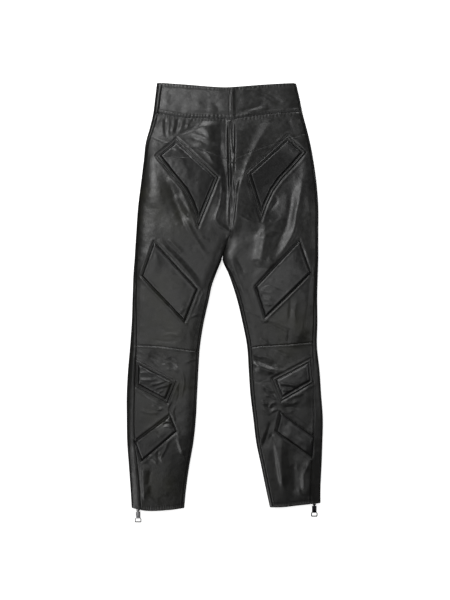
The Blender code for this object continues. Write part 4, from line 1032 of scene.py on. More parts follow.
def back_points(side, y):
    """Points of one leg's back: outer seam, side fold, underside, then the inner fold or the centre seam."""
    count = FLAP_POINTS + ROUND_POINTS
    half_gap = 0.5 * SEAM_GAP
    outer = fold_columns(
        side, y[:, :count], lambda at: side.at("outer", at), lambda at: side.at("outer_seam", at) - half_gap,
        -side.inward)
    inner_y = y[:, -count:][:, ::-1]
    inner = fold_columns(
        side, inner_y, lambda at: side.at("inner", at) - side.inward * half_gap,
        lambda at: side.at("inner_seam", at) - half_gap, side.inward)[:, ::-1]
    inner_y = inner_y[:, ::-1]
    spread = np.linspace(CENTRE_SPREAD, 0.0, count)
    seam_x = centre_back_x(inner_y) - side.inward * (half_gap + spread)
    seam = np.stack([seam_x, inner_y, np.zeros(inner_y.shape)], axis=-1)
    opened = smooth_step((inner_y - FORK - FORK_BLEND[0]) / (FORK_BLEND[1] - FORK_BLEND[0]))[..., None]
    inner = inner * (1.0 - opened) + seam * opened
    flat_y = y[:, count:-count]
    shares = np.linspace(0.0, 1.0, flat_y.shape[1] + 2)[1:-1]
    start, end = outer[:, -1:, 0], inner[:, :1, 0]
    flat_x = start + (end - start) * shares
    flat = np.stack([flat_x, flat_y, np.zeros(flat_y.shape)], axis=-1)
    points = np.concatenate([outer, flat, inner], axis=1)
    resting = smooth_step((RESTING - points[..., 2]) / RESTING)
    points[..., 2] += resting * under_relief(points[..., 0], points[..., 1])
    return points


def leg_back(side):
    """One leg's back, from the waistband to the hem, with the folds and the flaps up to the front's seams."""
    cell = bpy.context.scene.trousers_garment.back_cell / MM
    half_gap = 0.5 * SEAM_GAP
    rows = np.linspace(BACK_TOP, BACK_BOTTOM, round((BACK_TOP - BACK_BOTTOM) / cell) + 1)[:, None]
    near_top = np.maximum(0.0, 1.0 - (BACK_TOP - rows) / LINE_REACH)
    near_hem = np.maximum(0.0, 1.0 - (rows - BACK_BOTTOM) / LINE_REACH)
    count = 2 * (FLAP_POINTS + ROUND_POINTS) + round(FLAT_WIDTH / cell)
    straight = np.repeat(rows, count, axis=1)
    points = back_points(side, straight)
    for _ in range(2):
        x = points[..., 0]
        y = rows + near_top * (back_waist_line(x) - half_gap - BACK_TOP)
        y = y + near_hem * (cross_line(HEM[side.name], x) - BACK_BOTTOM)
        points = back_points(side, y)
    return points


def wrapped_wall(points, wall):
    """The inner points of a skin that wraps round folds, towards the inside of the garment."""
    normals = grid_normals(points)
    under = normals[normals.shape[0] // 3, normals.shape[1] // 2, 2]
    return points + wall * normals * (1.0 if under > 0 else -1.0)


def band_back_points():
    """The waistband's back, round both side folds to the front's seams."""
    cell = bpy.context.scene.trousers_garment.back_cell / MM
    half_gap = 0.5 * SEAM_GAP
    rows = np.linspace(0.0, 1.0, round(BAND_HEIGHT / cell) + 1)[:, None]
    halves = []
    for side in SIDES:
        edge = side.at("outer", (1.0 - rows) * BACK_BAND_ENDS[0] + rows * BACK_BAND_ENDS[1])
        top_y = cross_line(WAIST_TOP, edge) - BACK_DROP
        y = top_y + (cross_line(WAIST_SEAM, edge) + half_gap - top_y) * rows
        y = np.repeat(y, FLAP_POINTS + ROUND_POINTS, axis=1)
        halves.append(fold_columns(
            side, y, lambda at, s=side: s.at("outer", at),
            lambda at, s=side: s.at("outer_seam", at) - half_gap, -side.inward))
    left, right = halves[0], halves[1][:, ::-1]
    shares = np.linspace(0.0, 1.0, round(BAND_WIDTH / cell) + 2)[1:-1]
    x = left[:, -1:, 0] + (right[:, :1, 0] - left[:, -1:, 0]) * shares
    top_y = cross_line(WAIST_TOP, x) - BACK_DROP
    y = top_y + (back_waist_line(x) + half_gap - top_y) * rows
    flat = np.stack([x, y, raised_lumps(x, y, *BAND_LUMPS)], axis=-1)
    points = np.concatenate([left, flat, right], axis=1)
    points[..., 2] += BAND_PROUD * np.clip(points[..., 2] / PROUD_LEVEL, 0.0, 1.0)
    return points


def seam_painted_shade(points):
    """Painted shade along a wrapped skin's two long seams: how near its points lie to them, 0 to 1."""
    from_first = np.linalg.norm(points - points[:, :1], axis=-1)
    from_last = np.linalg.norm(points - points[:, -1:], axis=-1)
    return np.maximum(bell(from_first, SEAM_SHADE), bell(from_last, SEAM_SHADE))


def back_skin(node, points, wall):
    """A skin that wraps round the folds, which replaces the solid of the same name."""
    made = shell(
        f"{node}_skin", points, wrapped_wall(points, wall), finish("glazed_lambskin"), seam_painted_shade(points))
    dress(made, node)


# ---------------------------------------------------------------- what lies on the skins


def walk(points, count):
    """Points spaced evenly along a run of straight stretches."""
    points = np.array(points, float)
    marks = np.concatenate([[0.0], np.cumsum(np.hypot(*np.diff(points, axis=0).T))])
    at = np.linspace(0.0, marks[-1], count + 1)
    return np.stack([np.interp(at, marks, points[:, 0]), np.interp(at, marks, points[:, 1])], axis=-1)


def side_length(points):
    return float(np.hypot(*np.diff(np.array(points, float), axis=0).T).sum())


def closed_runs(sides):
    """Each side of an outline with the corner that it ends at."""
    return [list(one) + [sides[(i + 1) % len(sides)][0]] for i, one in enumerate(sides)]


def inset_sides(sides, distance):
    """The same outline, moved in by a distance, with as many points on each side."""
    ring = ring_of(sides)
    before, after = np.roll(ring, 1, axis=0), np.roll(ring, -1, axis=0)
    arrive, leave = ring - before, after - ring
    arrive /= np.linalg.norm(arrive, axis=1, keepdims=True)
    leave /= np.linalg.norm(leave, axis=1, keepdims=True)
    area = float(np.sum(ring[:, 0] * after[:, 1] - after[:, 0] * ring[:, 1]))
    turn = 1.0 if area > 0 else -1.0
    normal_in = np.stack([-arrive[:, 1] - leave[:, 1], arrive[:, 0] + leave[:, 0]], axis=-1) * turn
    normal_in /= np.linalg.norm(normal_in, axis=1, keepdims=True)
    edge_in = np.stack([-arrive[:, 1], arrive[:, 0]], axis=-1) * turn
    moved = ring + normal_in * (distance / np.sum(normal_in * edge_in, axis=1))[:, None]
    result, start = [], 0
    for one in sides:
        result.append([tuple(point) for point in moved[start:start + len(one)]])
        start += len(one)
    return result


def patch(sides, cell):
    """Grid of points that fills four sides, as a Coons patch; it has about one facet for each cell length."""
    runs = closed_runs(sides)
    down = max(3, round(max(side_length(runs[0]), side_length(runs[2])) / cell))
    across = max(3, round(max(side_length(runs[1]), side_length(runs[3])) / cell))
    first, second = walk(runs[0], down), walk(runs[1], across)
    third, fourth = walk(runs[2], down)[::-1], walk(runs[3], across)[::-1]
    u = np.linspace(0.0, 1.0, down + 1)[:, None, None]
    v = np.linspace(0.0, 1.0, across + 1)[None, :, None]
    ruled = first[:, None] * (1 - v) + third[:, None] * v + fourth[None] * (1 - u) + second[None] * u
    near = (first[0] * (1 - u) + first[-1] * u) * (1 - v)
    far = (third[0] * (1 - u) + third[-1] * u) * v
    return ruled - near - far


def side_of(name):
    return LEFT if name.endswith("left") else RIGHT


CROWN_SHARE = 0.3      # share of a pad's swell that is a broad crown; the rest is reached beside its edge
PAD_HALF_WIDTH = 38.0  # that crown rises over this width
EDGE_POWER = 1.6       # how a pad's slanting edge rounds into its crown
PUCKER_PITCH = 7.0
PUCKER_START = 2.0     # puckers are whole this far inside a pad's edge
PUCKER_REACH = 6.0     # and die out over this
PUCKER_HEIGHT = 0.12
CREASE_START = 4.0     # creases are whole this far inside a pad's edge
PAD_LUMPS = 0.1
LEAST_PAD = 0.4        # a pad is at least this thick
PAD_SHADE = 1.5        # half width of the shade along a pad's edge


def pillow_outline(pad):
    return inset_sides(pad.sides, PILLOW_INSET) if pad.framed else pad.sides


def pad_seat(side, x, y):
    """Height of a pad's underside: it bridges the seams that cross below it."""
    return np.maximum(face(side, x, y)[0], face(side, x, y, seams=False)[0]) + OVERLAY_GAP


def pad_top(pad, x, y):
    """Height of a pad's crowned top, and the painted shade of its creases and its stitched edge, 0 to 1."""
    roll = bpy.context.scene.trousers_garment.pad_roll / MM
    side = side_of(pad.name)
    inside, along = outline_place(x, y, ring_of(pillow_outline(pad)))
    beside = 1.0 - np.clip(inside / roll, 0.0, 1.0)
    crown = 1.0 - (1.0 - np.clip(inside / PAD_HALF_WIDTH, 0.0, 1.0)) ** 2
    shape = (1.0 - CROWN_SHARE) * (1.0 - beside ** EDGE_POWER) + CROWN_SHARE * crown
    creased = sum(fold_height(crease, x, y) for crease in PAD_CREASES[pad.name])
    creased = creased * smooth_step(inside / CREASE_START)
    waves = PUCKER_HEIGHT * puckers(along, PUCKER_PITCH, 47)
    waves = waves * smooth_step(inside / PUCKER_START) * bell(inside, PUCKER_REACH)
    lumps = PAD_LUMPS * (unevenness(x, y, 19.0, 53) + 0.5 * unevenness(x, y, 9.0, 59))
    lumps = lumps * smooth_step(inside / roll)
    under = face(side, x, y, seams=False)[0] + OVERLAY_GAP
    z = under + PAD_EDGE + pad.swell * shape + creased + waves + lumps
    # painted shade along the pad's stitched edge and in its creases
    painted_shade_share = np.maximum(bell(inside, PAD_SHADE), smooth_step(-creased - 0.1))
    return np.maximum(z, pad_seat(side, x, y) + LEAST_PAD), painted_shade_share


def pad_piece(pad):
    """One padded panel."""
    cell = bpy.context.scene.trousers_garment.pad_cell / MM
    grid = patch(pillow_outline(pad), cell)
    x, y = grid[..., 0], grid[..., 1]
    top, painted_shade_share = pad_top(pad, x, y)
    outer = np.stack([x, y, top], axis=-1)
    inner = np.stack([x, y, pad_seat(side_of(pad.name), x, y)], axis=-1)
    made = shell(f"{pad.name}_cover", outer, inner, finish("padded_lambskin"), painted_shade_share)
    dress(made, pad.name)


FRAME_STEP = 2.4       # between points along a cord
FRAME_POINTS = 9       # points across it
FRAME_POWER = 1.5      # how its section rounds over
FRAME_PUCKER = 0.08
FRAME_SHADE = 0.4      # from this share of its half width outwards, a cord is shaded


def frame_piece(pad):
    """The raised cord round a framed pad: a low rounded section, mitred at the corners."""
    side = side_of(pad.name)
    runs = closed_runs(inset_sides(pad.sides, FRAME_INSET))
    path = [tuple(point) for run in runs for point in walk(run, round(side_length(run) / FRAME_STEP))[:-1]]
    count = len(path)
    along = np.arange(count) * FRAME_STEP
    lines = []
    for angle in np.linspace(math.pi, 0.0, FRAME_POINTS):
        x, y = np.array(inset_sides([path], -0.5 * FRAME_WIDTH * math.cos(angle))[0]).T
        roof = FRAME_LIFT * (1.0 - abs(math.cos(angle)) ** FRAME_POWER)
        lift = roof * (1.0 + FRAME_PUCKER * puckers(along, 6.0, 61))
        lines.append(np.stack([x, y, pad_seat(side, x, y) + lift], axis=-1))
    points = np.concatenate(lines)
    index = np.arange(FRAME_POINTS * count).reshape(FRAME_POINTS, count)
    across = np.roll(index, -1, axis=0)
    corners = (index, np.roll(index, -1, axis=1), np.roll(across, -1, axis=1), across)
    faces = np.stack(corners, axis=-1).reshape(-1, 4)
    share = np.abs(np.linspace(-1.0, 1.0, FRAME_POINTS))
    # painted shade on the cord's flanks, from FRAME_SHADE of its half width outwards
    painted_shade_share = np.repeat(smooth_step((share - FRAME_SHADE) / FRAME_SHADE), count)
    marks = {"hollow": painted_shade_share, "warm": warmth(points[:, 0], points[:, 1])}
    name = pad.name.replace("pad", "frame")
    made = new_piece(f"{name}_cord", points, faces.tolist(), finish("glazed_lambskin"), marks)
    point_outwards(made)
    dress(made, name)


def point_outwards(piece):
    """Turns the faces of a closed piece outwards."""
    build = bmesh.new()
    build.from_mesh(piece.data)
    bmesh.ops.recalc_face_normals(build, faces=build.faces)
    build.to_mesh(piece.data)
    build.free()


FLY_CELL = 2.0
FLY_EDGE = 1.4         # width of the lap's rounded edge
FLY_RIDGE = (0.4, 3.4, 1.2)        # height of the ridge beside it, how far inside it lies, and half width
BAR_TACK = (17.0, 333.5, 14.0)     # x and y of its middle, and its length


def fly_piece():
    """The lap over the fly, closed down to its bar tack."""
    grid = patch(FLY, FLY_CELL)
    x, y = grid[..., 0], grid[..., 1]
    seat = np.where(x < LEFT.at("inner", y), face(LEFT, x, y)[0], face(RIGHT, x, y)[0])
    inside, along = outline_place(x, y, ring_of(FLY))
    edge = np.sqrt(1.0 - (1.0 - np.clip(inside / FLY_EDGE, 0.0, 1.0)) ** 2)
    height, place, width = FLY_RIDGE
    ridge = height * bell(inside - place, width) + 0.15 * puckers(along, 8.0, 67)
    under = seat + OVERLAY_GAP
    top = under + 0.5 * FLY_THICKNESS * (1.0 + edge) + ridge * edge
    outer, inner = np.stack([x, y, top], axis=-1), np.stack([x, y, under], axis=-1)
    # the lap's edge gets painted shade over its first millimetre
    made = shell("fly_lap_skin", outer, inner, finish("glazed_lambskin"), bell(inside, 1.0))
    dress(made, "fly_lap")


# ---------------------------------------------------------------- finishes


WHITE = (1.0, 1.0, 1.0, 1.0)


def linear(colour):
    """A hex sRGB colour as the linear values that Blender's nodes take."""
    values = [int(colour[i:i + 2], 16) / 255.0 for i in (1, 3, 5)]
    return (*(v / 12.92 if v <= 0.04045 else ((v + 0.055) / 1.055) ** 2.4 for v in values), 1.0)


def per_metre(size_mm):
    """A pattern's scale, from the size of what it repeats."""
    return 1.0 / (size_mm * MM)


def add_node(tree, kind, settings=None, inputs=None):
    """Adds a node with its settings, and with a value or a link for each of the inputs given."""
    node = tree.nodes.new(kind)
    for name, value in (settings or {}).items():
        setattr(node, name, value)
    for socket, value in (inputs or {}).items():
        if isinstance(value, bpy.types.NodeSocket):
            tree.links.new(value, node.inputs[socket])
        else:
            node.inputs[socket].default_value = value
    return node


def blank_material(name, shader_values):
    """A material with its Principled shader's own sockets set."""
    material = bpy.data.materials.new(name)
    material.use_nodes = True
    tree = material.node_tree
    shader = tree.nodes["Principled BSDF"]
    for socket, value in shader_values.items():
        shader.inputs[socket].default_value = value
    place = add_node(tree, "ShaderNodeTexCoord").outputs["Object"]
    return material, tree, shader, place


def mixed(tree, share, first, second, blend="MIX"):
    """Colour between two colours. The three sockets are the Mix node's colour ones."""
    return add_node(
        tree, "ShaderNodeMix", {"data_type": "RGBA", "blend_type": blend}, {0: share, 6: first, 7: second}
    ).outputs[2]


def ranged(tree, value, low, high, from_low=0.0, from_high=1.0):
    """A value moved from one range to another."""
    inputs = {"Value": value, "From Min": from_low, "From Max": from_high, "To Min": low, "To Max": high}
    return add_node(tree, "ShaderNodeMapRange", inputs=inputs).outputs["Result"]


def noise(tree, place, size_mm, detail=3.0, roughness=0.5):
    return add_node(
        tree, "ShaderNodeTexNoise",
        inputs={"Vector": place, "Scale": per_metre(size_mm), "Detail": detail, "Roughness": roughness},
    ).outputs["Fac"]


def attribute(tree, name):
    return add_node(tree, "ShaderNodeAttribute", {"attribute_name": name}).outputs["Fac"]


def bumped(tree, height, depth_mm, strength, normal=None):
    inputs = {"Height": height, "Distance": depth_mm * MM, "Strength": strength}
    if normal is not None:
        inputs["Normal"] = normal
    return add_node(tree, "ShaderNodeBump", inputs=inputs).outputs["Normal"]


def tinted(tree, shader, colour, share):
    """Gives a shader a colour that a pattern darkens and lightens."""
    tree.links.new(mixed(tree, 1.0, linear(colour), share, "MULTIPLY"), shader.inputs["Base Color"])


def lambskin(name, colour, rough_low, rough_high, coat, crumple):
    """Aniline-dyed lambskin. The dye is deep and even, so light shows form and fine grain, not colour."""
    finishes = bpy.context.scene.trousers_finishes
    material, tree, shader, place = blank_material(
        name, {"IOR": 1.5, "Coat Weight": coat, "Coat Roughness": 0.3, "Coat IOR": 1.5})
    drift = noise(tree, place, 34.0)
    cloud = noise(tree, place, 9.0)
    # the dye takes a little unevenly and goes olive where the glaze is thin; creases, grooves, seams and pad
    # edges get painted shade
    warmed = ranged(tree, attribute(tree, "warm"), 0.0, 0.85)
    warm = mixed(tree, warmed, linear(colour), linear(finishes.leather_warm))
    uneven = ranged(tree, drift, 0.82, 1.2, 0.3, 0.7)
    toned = mixed(tree, 1.0, warm, uneven, "MULTIPLY")
    # painted shade: the base colour goes towards the shade colour in creases, grooves, seams and pad edges
    painted_shade_share = ranged(tree, attribute(tree, "hollow"), 0.0, 0.8)
    tree.links.new(mixed(tree, painted_shade_share, toned, linear(finishes.painted_shade_colour)), shader.inputs["Base Color"])
    # ironing and wear polish it in soft clouds
    tree.links.new(ranged(tree, cloud, rough_low, rough_high, 0.3, 0.7), shader.inputs["Roughness"])
    # a lambskin's pores are about 0.3 mm apart; they are drawn at 1 mm so that the grain shows
    pores = add_node(
        tree, "ShaderNodeTexVoronoi", {"feature": "SMOOTH_F1"},
        {"Vector": place, "Scale": per_metre(1.0), "Smoothness": 0.6}).outputs["Distance"]
    break_up = noise(tree, place, 4.5, detail=5.0, roughness=0.6)
    soft = bumped(tree, break_up, 0.22, crumple)
    tree.links.new(bumped(tree, pores, 0.05, 0.4, soft), shader.inputs["Normal"])
    return material


def glazed_lambskin(name):
    """Smooth black lambskin, glazed by ironing: a soft sheen that follows each fold."""
    return lambskin(name, bpy.context.scene.trousers_finishes.leather, 0.3, 0.42, 0.12, 0.6)


def padded_lambskin(name):
    """The same skin drawn over wadding: tighter, so a little glossier and blacker."""
    return lambskin(name, bpy.context.scene.trousers_finishes.padding, 0.28, 0.36, 0.14, 0.2)


def polyester_thread(name):
    """Twisted polyester thread: a dull sheen, and plies that run round it."""
    material, tree, shader, place = blank_material(name, {"Roughness": 0.6, "IOR": 1.5, "Sheen Weight": 0.2})
    fibres = noise(tree, place, 0.3, detail=2.0)
    tinted(tree, shader, bpy.context.scene.trousers_finishes.thread, ranged(tree, fibres, 0.7, 1.4))
    tree.links.new(bumped(tree, fibres, 0.05, 0.6), shader.inputs["Normal"])
    return material


def woven_tape(name):
    """Woven polyester zip tape: a fine herringbone that takes no gloss."""
    material, tree, shader, place = blank_material(
        name, {"Roughness": 0.85, "IOR": 1.5, "Sheen Weight": 0.15})
    # threads of 0.4 mm, drawn at twice that
    weave = add_node(
        tree, "ShaderNodeTexWave", {"wave_type": "BANDS", "bands_direction": "DIAGONAL"},
        {"Vector": place, "Scale": per_metre(0.8) / math.tau * 0.5, "Distortion": 0.3}).outputs["Fac"]
    tinted(tree, shader, bpy.context.scene.trousers_finishes.tape, ranged(tree, weave, 0.7, 1.5))
    tree.links.new(bumped(tree, weave, 0.12, 0.7), shader.inputs["Normal"])
    return material


HANDLED = (0.75, 0.75, 0.76, 1.0)  # what handling leaves of a plating's colour


def plated_metal(name, colour, rough_low, rough_high):
    """Die-cast zinc with a plated coat: smooth, with faint handling marks that blur its reflections."""
    material, tree, shader, place = blank_material(name, {"Metallic": 1.0})
    handling = noise(tree, place, 2.5, detail=5.0)
    marks = ranged(tree, handling, 0.0, 0.5, 0.45, 0.75)
    worn = mixed(tree, marks, linear(colour), HANDLED, "MULTIPLY")
    tree.links.new(worn, shader.inputs["Base Color"])
    tree.links.new(ranged(tree, handling, rough_low, rough_high, 0.3, 0.7), shader.inputs["Roughness"])
    tree.links.new(bumped(tree, handling, 0.03, 0.3), shader.inputs["Normal"])
    return material


def black_nickel(name):
    return plated_metal(name, bpy.context.scene.trousers_finishes.metal, 0.24, 0.4)


def worn_nickel(name):
    """The same plated metal made paler and duller for the left pull: the paler colour is painted light, for
    the light that the left pull catches.
    """
    return plated_metal(name, bpy.context.scene.trousers_finishes.painted_light_metal, 0.3, 0.5)


def opal_floor(name):
    """Opal acrylic lit from below: an even white that takes the hardness out of shadows."""
    glow = bpy.context.scene.trousers_stage.glow
    material, tree, shader, place = blank_material(
        name, {"Roughness": 0.9, "IOR": 1.49, "Emission Color": WHITE, "Emission Strength": glow})
    tint = ranged(tree, noise(tree, place, 220.0), 0.99, 1.0)
    tinted(tree, shader, bpy.context.scene.trousers_finishes.floor, tint)
    return material


FINISHES = {
    "glazed_lambskin": glazed_lambskin,
    "padded_lambskin": padded_lambskin,
    "polyester_thread": polyester_thread,
    "woven_zip_tape": woven_tape,
    "black_nickel": black_nickel,
    "worn_nickel": worn_nickel,
    "opal_acrylic": opal_floor,
}


def finish(name):
    """The material of that name, made when it is first asked for."""
    return bpy.data.materials.get(name) or FINISHES[name](name)


# ---------------------------------------------------------------- rows of stitches


ROW_STEP = 3.0         # a row's points are this far apart before the stitches are laid along it
ROW_ENDS = 2.5         # a row of stitches stops this far from the seams at its ends
FRAME_ROWS = (-0.6, 6.6)   # inside a framed pad's outline: outside the cord, and between cord and pillow
PAD_ROWS = (1.3,)
CLOSURE_ROWS = (
    ((9.4, 519), (9.8, 498), (12.0, 491), (12.3, 443)),
    ((19.0, 519), (19.2, 498), (20.2, 491), (20.4, 443)),
)
BAND_ROW_ENDS = {"left": 10.5, "right": 24.5}   # x where the waistband's rows meet its closing edge
FLY_ROWS = (((8.6, 434), (10.2, 385), (11.4, 338)), ((13.2, 434), (17.0, 385), (21.8, 338)))
RISE_ROWS = (((10.6, 328), (10.8, 296), (12.0, 266)), ((19.5, 328), (19.4, 300), (18.6, 272)))
TACK_ROWS = 5
TACK_STEP = 0.7        # between a bar tack's rows
TACK_POINTS = 8
THREAD_RISE = 0.3      # a stitch's middle stands this share of the thread's thickness above the skin
ON_PAD = 0.1           # and this high above a pad


def on_skin(side, x, y, lift=0.0):
    """Points of a row that lies on a skin."""
    thread = bpy.context.scene.trousers_stitches.thread / MM
    return np.stack([x, y, face(side, x, y)[0] + lift + THREAD_RISE * thread], axis=-1)


def cross_rows():
    """Rows beside the seams and the edges that run across."""
    rows = []
    for side in SIDES:
        lines = [(WAIST_TOP, -WAIST_ROW, BAND_PROUD), (WAIST_SEAM, SEAM_ROW, BAND_PROUD)]
        lines += [(YOKE_SEAM[side.name], -SEAM_ROW, 0.0), (KNEE_SEAM[side.name], -SEAM_ROW, 0.0)]
        lines += [(HEM[side.name], row, 0.0) for row in HEM_ROWS]
        middle_x = 0.5 * (side.at("outer", 0.0) + side.at("inner", 0.0))
        for line, shift, lift in lines:
            y = float(cross_line(line, middle_x)) + shift
            start = float(side.outer_seam_x(y)) + side.inward * ROW_ENDS
            end = float(side.inner_seam_x(y)) - side.inward * ROW_ENDS
            if lift:
                end = BAND_ROW_ENDS[side.name]
            x = np.linspace(start, end, round(abs(end - start) / ROW_STEP))
            rows.append(on_skin(side, x, cross_line(line, x) + shift, lift))
    return rows


def spaced_line(points):
    line = rounded_line(points)
    return walk(line, max(2, round(side_length(line) / ROW_STEP))).T


def upright_rows():
    """Rows down the waistband's closing edge, the fly lap and the rise below it."""
    rows = [on_skin(LEFT, *spaced_line(line), BAND_PROUD) for line in CLOSURE_ROWS]
    rows += [on_skin(LEFT, *spaced_line(line), OVERLAY_GAP + FLY_THICKNESS) for line in FLY_ROWS]
    rows += [on_skin(LEFT, *spaced_line(line)) for line in RISE_ROWS]
    tack_x, tack_y, tack_length = BAR_TACK
    for row in range(TACK_ROWS):
        x = np.linspace(tack_x - 0.5 * tack_length, tack_x + 0.5 * tack_length, TACK_POINTS)
        y = np.full(TACK_POINTS, tack_y + TACK_STEP * row)
        rows.append(on_skin(LEFT, x, y, OVERLAY_GAP + FLY_THICKNESS))
    return rows


def pad_rows():
    """Rows round the padded panels."""
    rows = []
    for pad in PADS:
        for inset in FRAME_ROWS if pad.framed else PAD_ROWS:
            outline = ring_of(inset_sides(pad.sides, inset)).tolist()
            outline.append(outline[0])
            x, y = walk(outline, round(side_length(outline) / ROW_STEP)).T
            if pad.framed:
                rows.append(on_skin(side_of(pad.name), x, y))
            else:
                rows.append(np.stack([x, y, pad_top(pad, x, y)[0] + ON_PAD], axis=-1))
    return rows


def row_tree(name, sizes, make_instance, material):
    """Node tree that repeats a small piece along rows. sizes are its inputs and their values, in metres."""
    tree = bpy.data.node_groups.new(name, "GeometryNodeTree")
    tree.interface.new_socket("Rows", in_out="INPUT", socket_type="NodeSocketGeometry")
    for size, value in sizes.items():
        socket = tree.interface.new_socket(size, in_out="INPUT", socket_type="NodeSocketFloat")
        socket.subtype, socket.default_value = "DISTANCE", value
    tree.interface.new_socket("Pieces", in_out="OUTPUT", socket_type="NodeSocketGeometry")
    given = add_node(tree, "NodeGroupInput").outputs
    curve = add_node(tree, "GeometryNodeMeshToCurve", inputs={"Mesh": given["Rows"]}).outputs["Curve"]
    spaced = add_node(
        tree, "GeometryNodeResampleCurve", {"mode": "LENGTH"}, {"Curve": curve, "Length": given["Pitch"]})
    along = add_node(tree, "GeometryNodeInputTangent").outputs["Tangent"]
    turn = add_node(
        tree, "FunctionNodeAlignRotationToVector", {"axis": "X"}, {"Vector": along}).outputs["Rotation"]
    small = make_instance(tree, given)
    placed = add_node(
        tree, "GeometryNodeInstanceOnPoints",
        inputs={"Points": spaced.outputs["Curve"], "Instance": small, "Rotation": turn}).outputs["Instances"]
    real = add_node(tree, "GeometryNodeRealizeInstances", inputs={"Geometry": placed}).outputs["Geometry"]
    set_up = {"Geometry": real, "Material": material}
    done = add_node(tree, "GeometryNodeSetMaterial", inputs=set_up).outputs["Geometry"]
    add_node(tree, "NodeGroupOutput", inputs={"Pieces": done})
    return tree


def repeated(name, rows, tree, sizes):
    """A plain mesh of the pieces that a node tree lays along rows of points."""
    points, edges = [], []
    for row in rows:
        start = len(points)
        points += (row * MM).tolist()
        edges += [(i, i + 1) for i in range(start, start + len(row) - 1)]
    guide = bpy.data.meshes.new(f"{name}_rows")
    guide.from_pydata(points, edges, [])
    holder = bpy.data.objects.new(f"{name}_rows", guide)
    bpy.context.scene.collection.objects.link(holder)
    modifier = holder.modifiers.new("rows", "NODES")
    modifier.node_group = tree
    for item in tree.interface.items_tree:
        if item.in_out == "INPUT" and item.name in sizes:
            modifier[item.identifier] = sizes[item.name]
    graph = bpy.context.evaluated_depsgraph_get()
    mesh = bpy.data.meshes.new_from_object(holder.evaluated_get(graph))
    bpy.data.objects.remove(holder, do_unlink=True)
    mesh.name = name
    return linked(name, mesh)


STITCH_SIDES = 6
STITCH_RINGS = 4


def one_stitch(tree, given):
    """A stitch is a small stretched ball of thread."""
    ball = add_node(
        tree, "GeometryNodeMeshUVSphere",
        inputs={"Segments": STITCH_SIDES, "Rings": STITCH_RINGS, "Radius": 0.5})
    size = add_node(
        tree, "ShaderNodeCombineXYZ",
        inputs={"X": given["Length"], "Y": given["Thread"], "Z": given["Thread"]})
    return add_node(
        tree, "GeometryNodeTransform",
        inputs={"Geometry": ball.outputs["Mesh"], "Scale": size.outputs["Vector"]}).outputs["Geometry"]


def stitches_piece():
    """All the rows of stitches that show."""
    chosen = bpy.context.scene.trousers_stitches
    sizes = {"Pitch": chosen.pitch, "Length": chosen.length, "Thread": chosen.thread}
    tree = row_tree("machine_stitches", sizes, one_stitch, finish("polyester_thread"))
    made = repeated("stitches", cross_rows() + upright_rows() + pad_rows(), tree, sizes)
    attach(made, GARMENT)


# ---------------------------------------------------------------- ankle zips

ZIP_ROOM = 0.4         # between the slider and the zip's teeth and tape
TAPE_THICKNESS = 0.5
TAPE_CELL = 1.4
TAPE_COLUMNS = 9
TOOTH_WIDTH = 2.4
TOOTH_LENGTH = 0.85
TOOTH_HEIGHT = 1.3
TOOTH_OFFSET = 0.7     # the two sides' teeth stand this far from the zip's middle
TEETH_START = 1.0      # they stop this far from the lower end of the tape
TEETH_END = 1.5        # and this far from its upper end
TEETH_POINTS = 60      # points of a row that the teeth are laid along


def zip_place(side):
    """x of the zip's middle and y of the hem there."""
    hem_y = float(side.rows["y"][0])
    for _ in range(3):
        x = float(side.at("outer", hem_y)) + side.inward * ZIP_INSIDE
        hem_y = float(cross_line(HEM[side.name], x))
    return x, hem_y


def zip_line(side, shift, y):
    """Points along the zip, to one side of its middle, at the level of its tape."""
    x = side.at("outer", y) + side.inward * ZIP_INSIDE + shift
    z = main_height(side, x, y) - ZIP_DEPTH - 0.5 * ZIP_THICKNESS
    return np.stack([x, y, z], axis=-1)


def zip_reach(side):
    _, hem_y = zip_place(side)
    lower = hem_y + SLIDER_START + SLIDER_LENGTH + ZIP_ROOM
    return lower, lower + ZIP_LENGTH


def tape_piece(side):
    """The zip's tape."""
    y = np.linspace(*zip_reach(side), round(ZIP_LENGTH / TAPE_CELL))[:, None]
    shifts = np.linspace(-0.5 * ZIP_WIDTH, 0.5 * ZIP_WIDTH, TAPE_COLUMNS)[None, :]
    y, shifts = np.broadcast_arrays(y, shifts)
    middle = zip_line(side, shifts, y)
    up = np.array([0.0, 0.0, 0.5 * TAPE_THICKNESS])
    made = shell(f"zip_tape_{side.name}", middle + up, middle - up, finish("woven_zip_tape"))
    dress(made, f"zip_strip_{side.name}")


def one_tooth(tree, given):
    size = add_node(
        tree, "ShaderNodeCombineXYZ",
        inputs={"X": given["Length"], "Y": given["Width"], "Z": given["Height"]})
    return add_node(tree, "GeometryNodeMeshCube", inputs={"Size": size.outputs["Vector"]}).outputs["Mesh"]


def teeth_piece():
    """The teeth of both zips, closed."""
    pitch = bpy.context.scene.trousers_zips.tooth_pitch
    sizes = {
        "Pitch": pitch, "Length": TOOTH_LENGTH * MM, "Width": TOOTH_WIDTH * MM, "Height": TOOTH_HEIGHT * MM,
    }
    rows = []
    for side in SIDES:
        lower, upper = zip_reach(side)
        for way in (-1, 1):
            start = lower + TEETH_START + (0.5 * pitch / MM if way > 0 else 0.0)
            y = np.linspace(start, upper - TEETH_END, TEETH_POINTS)
            rows.append(zip_line(side, way * TOOTH_OFFSET, y))
    tree = row_tree("zip_teeth", sizes, one_tooth, finish("black_nickel"))
    made = repeated("zip_teeth", rows, tree, sizes)
    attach(made, GARMENT)


SAME_PLACE = 0.001 * MM
FLAT_ANGLE = math.radians(2.0)
EDGE_ANGLE = math.radians(32.0)


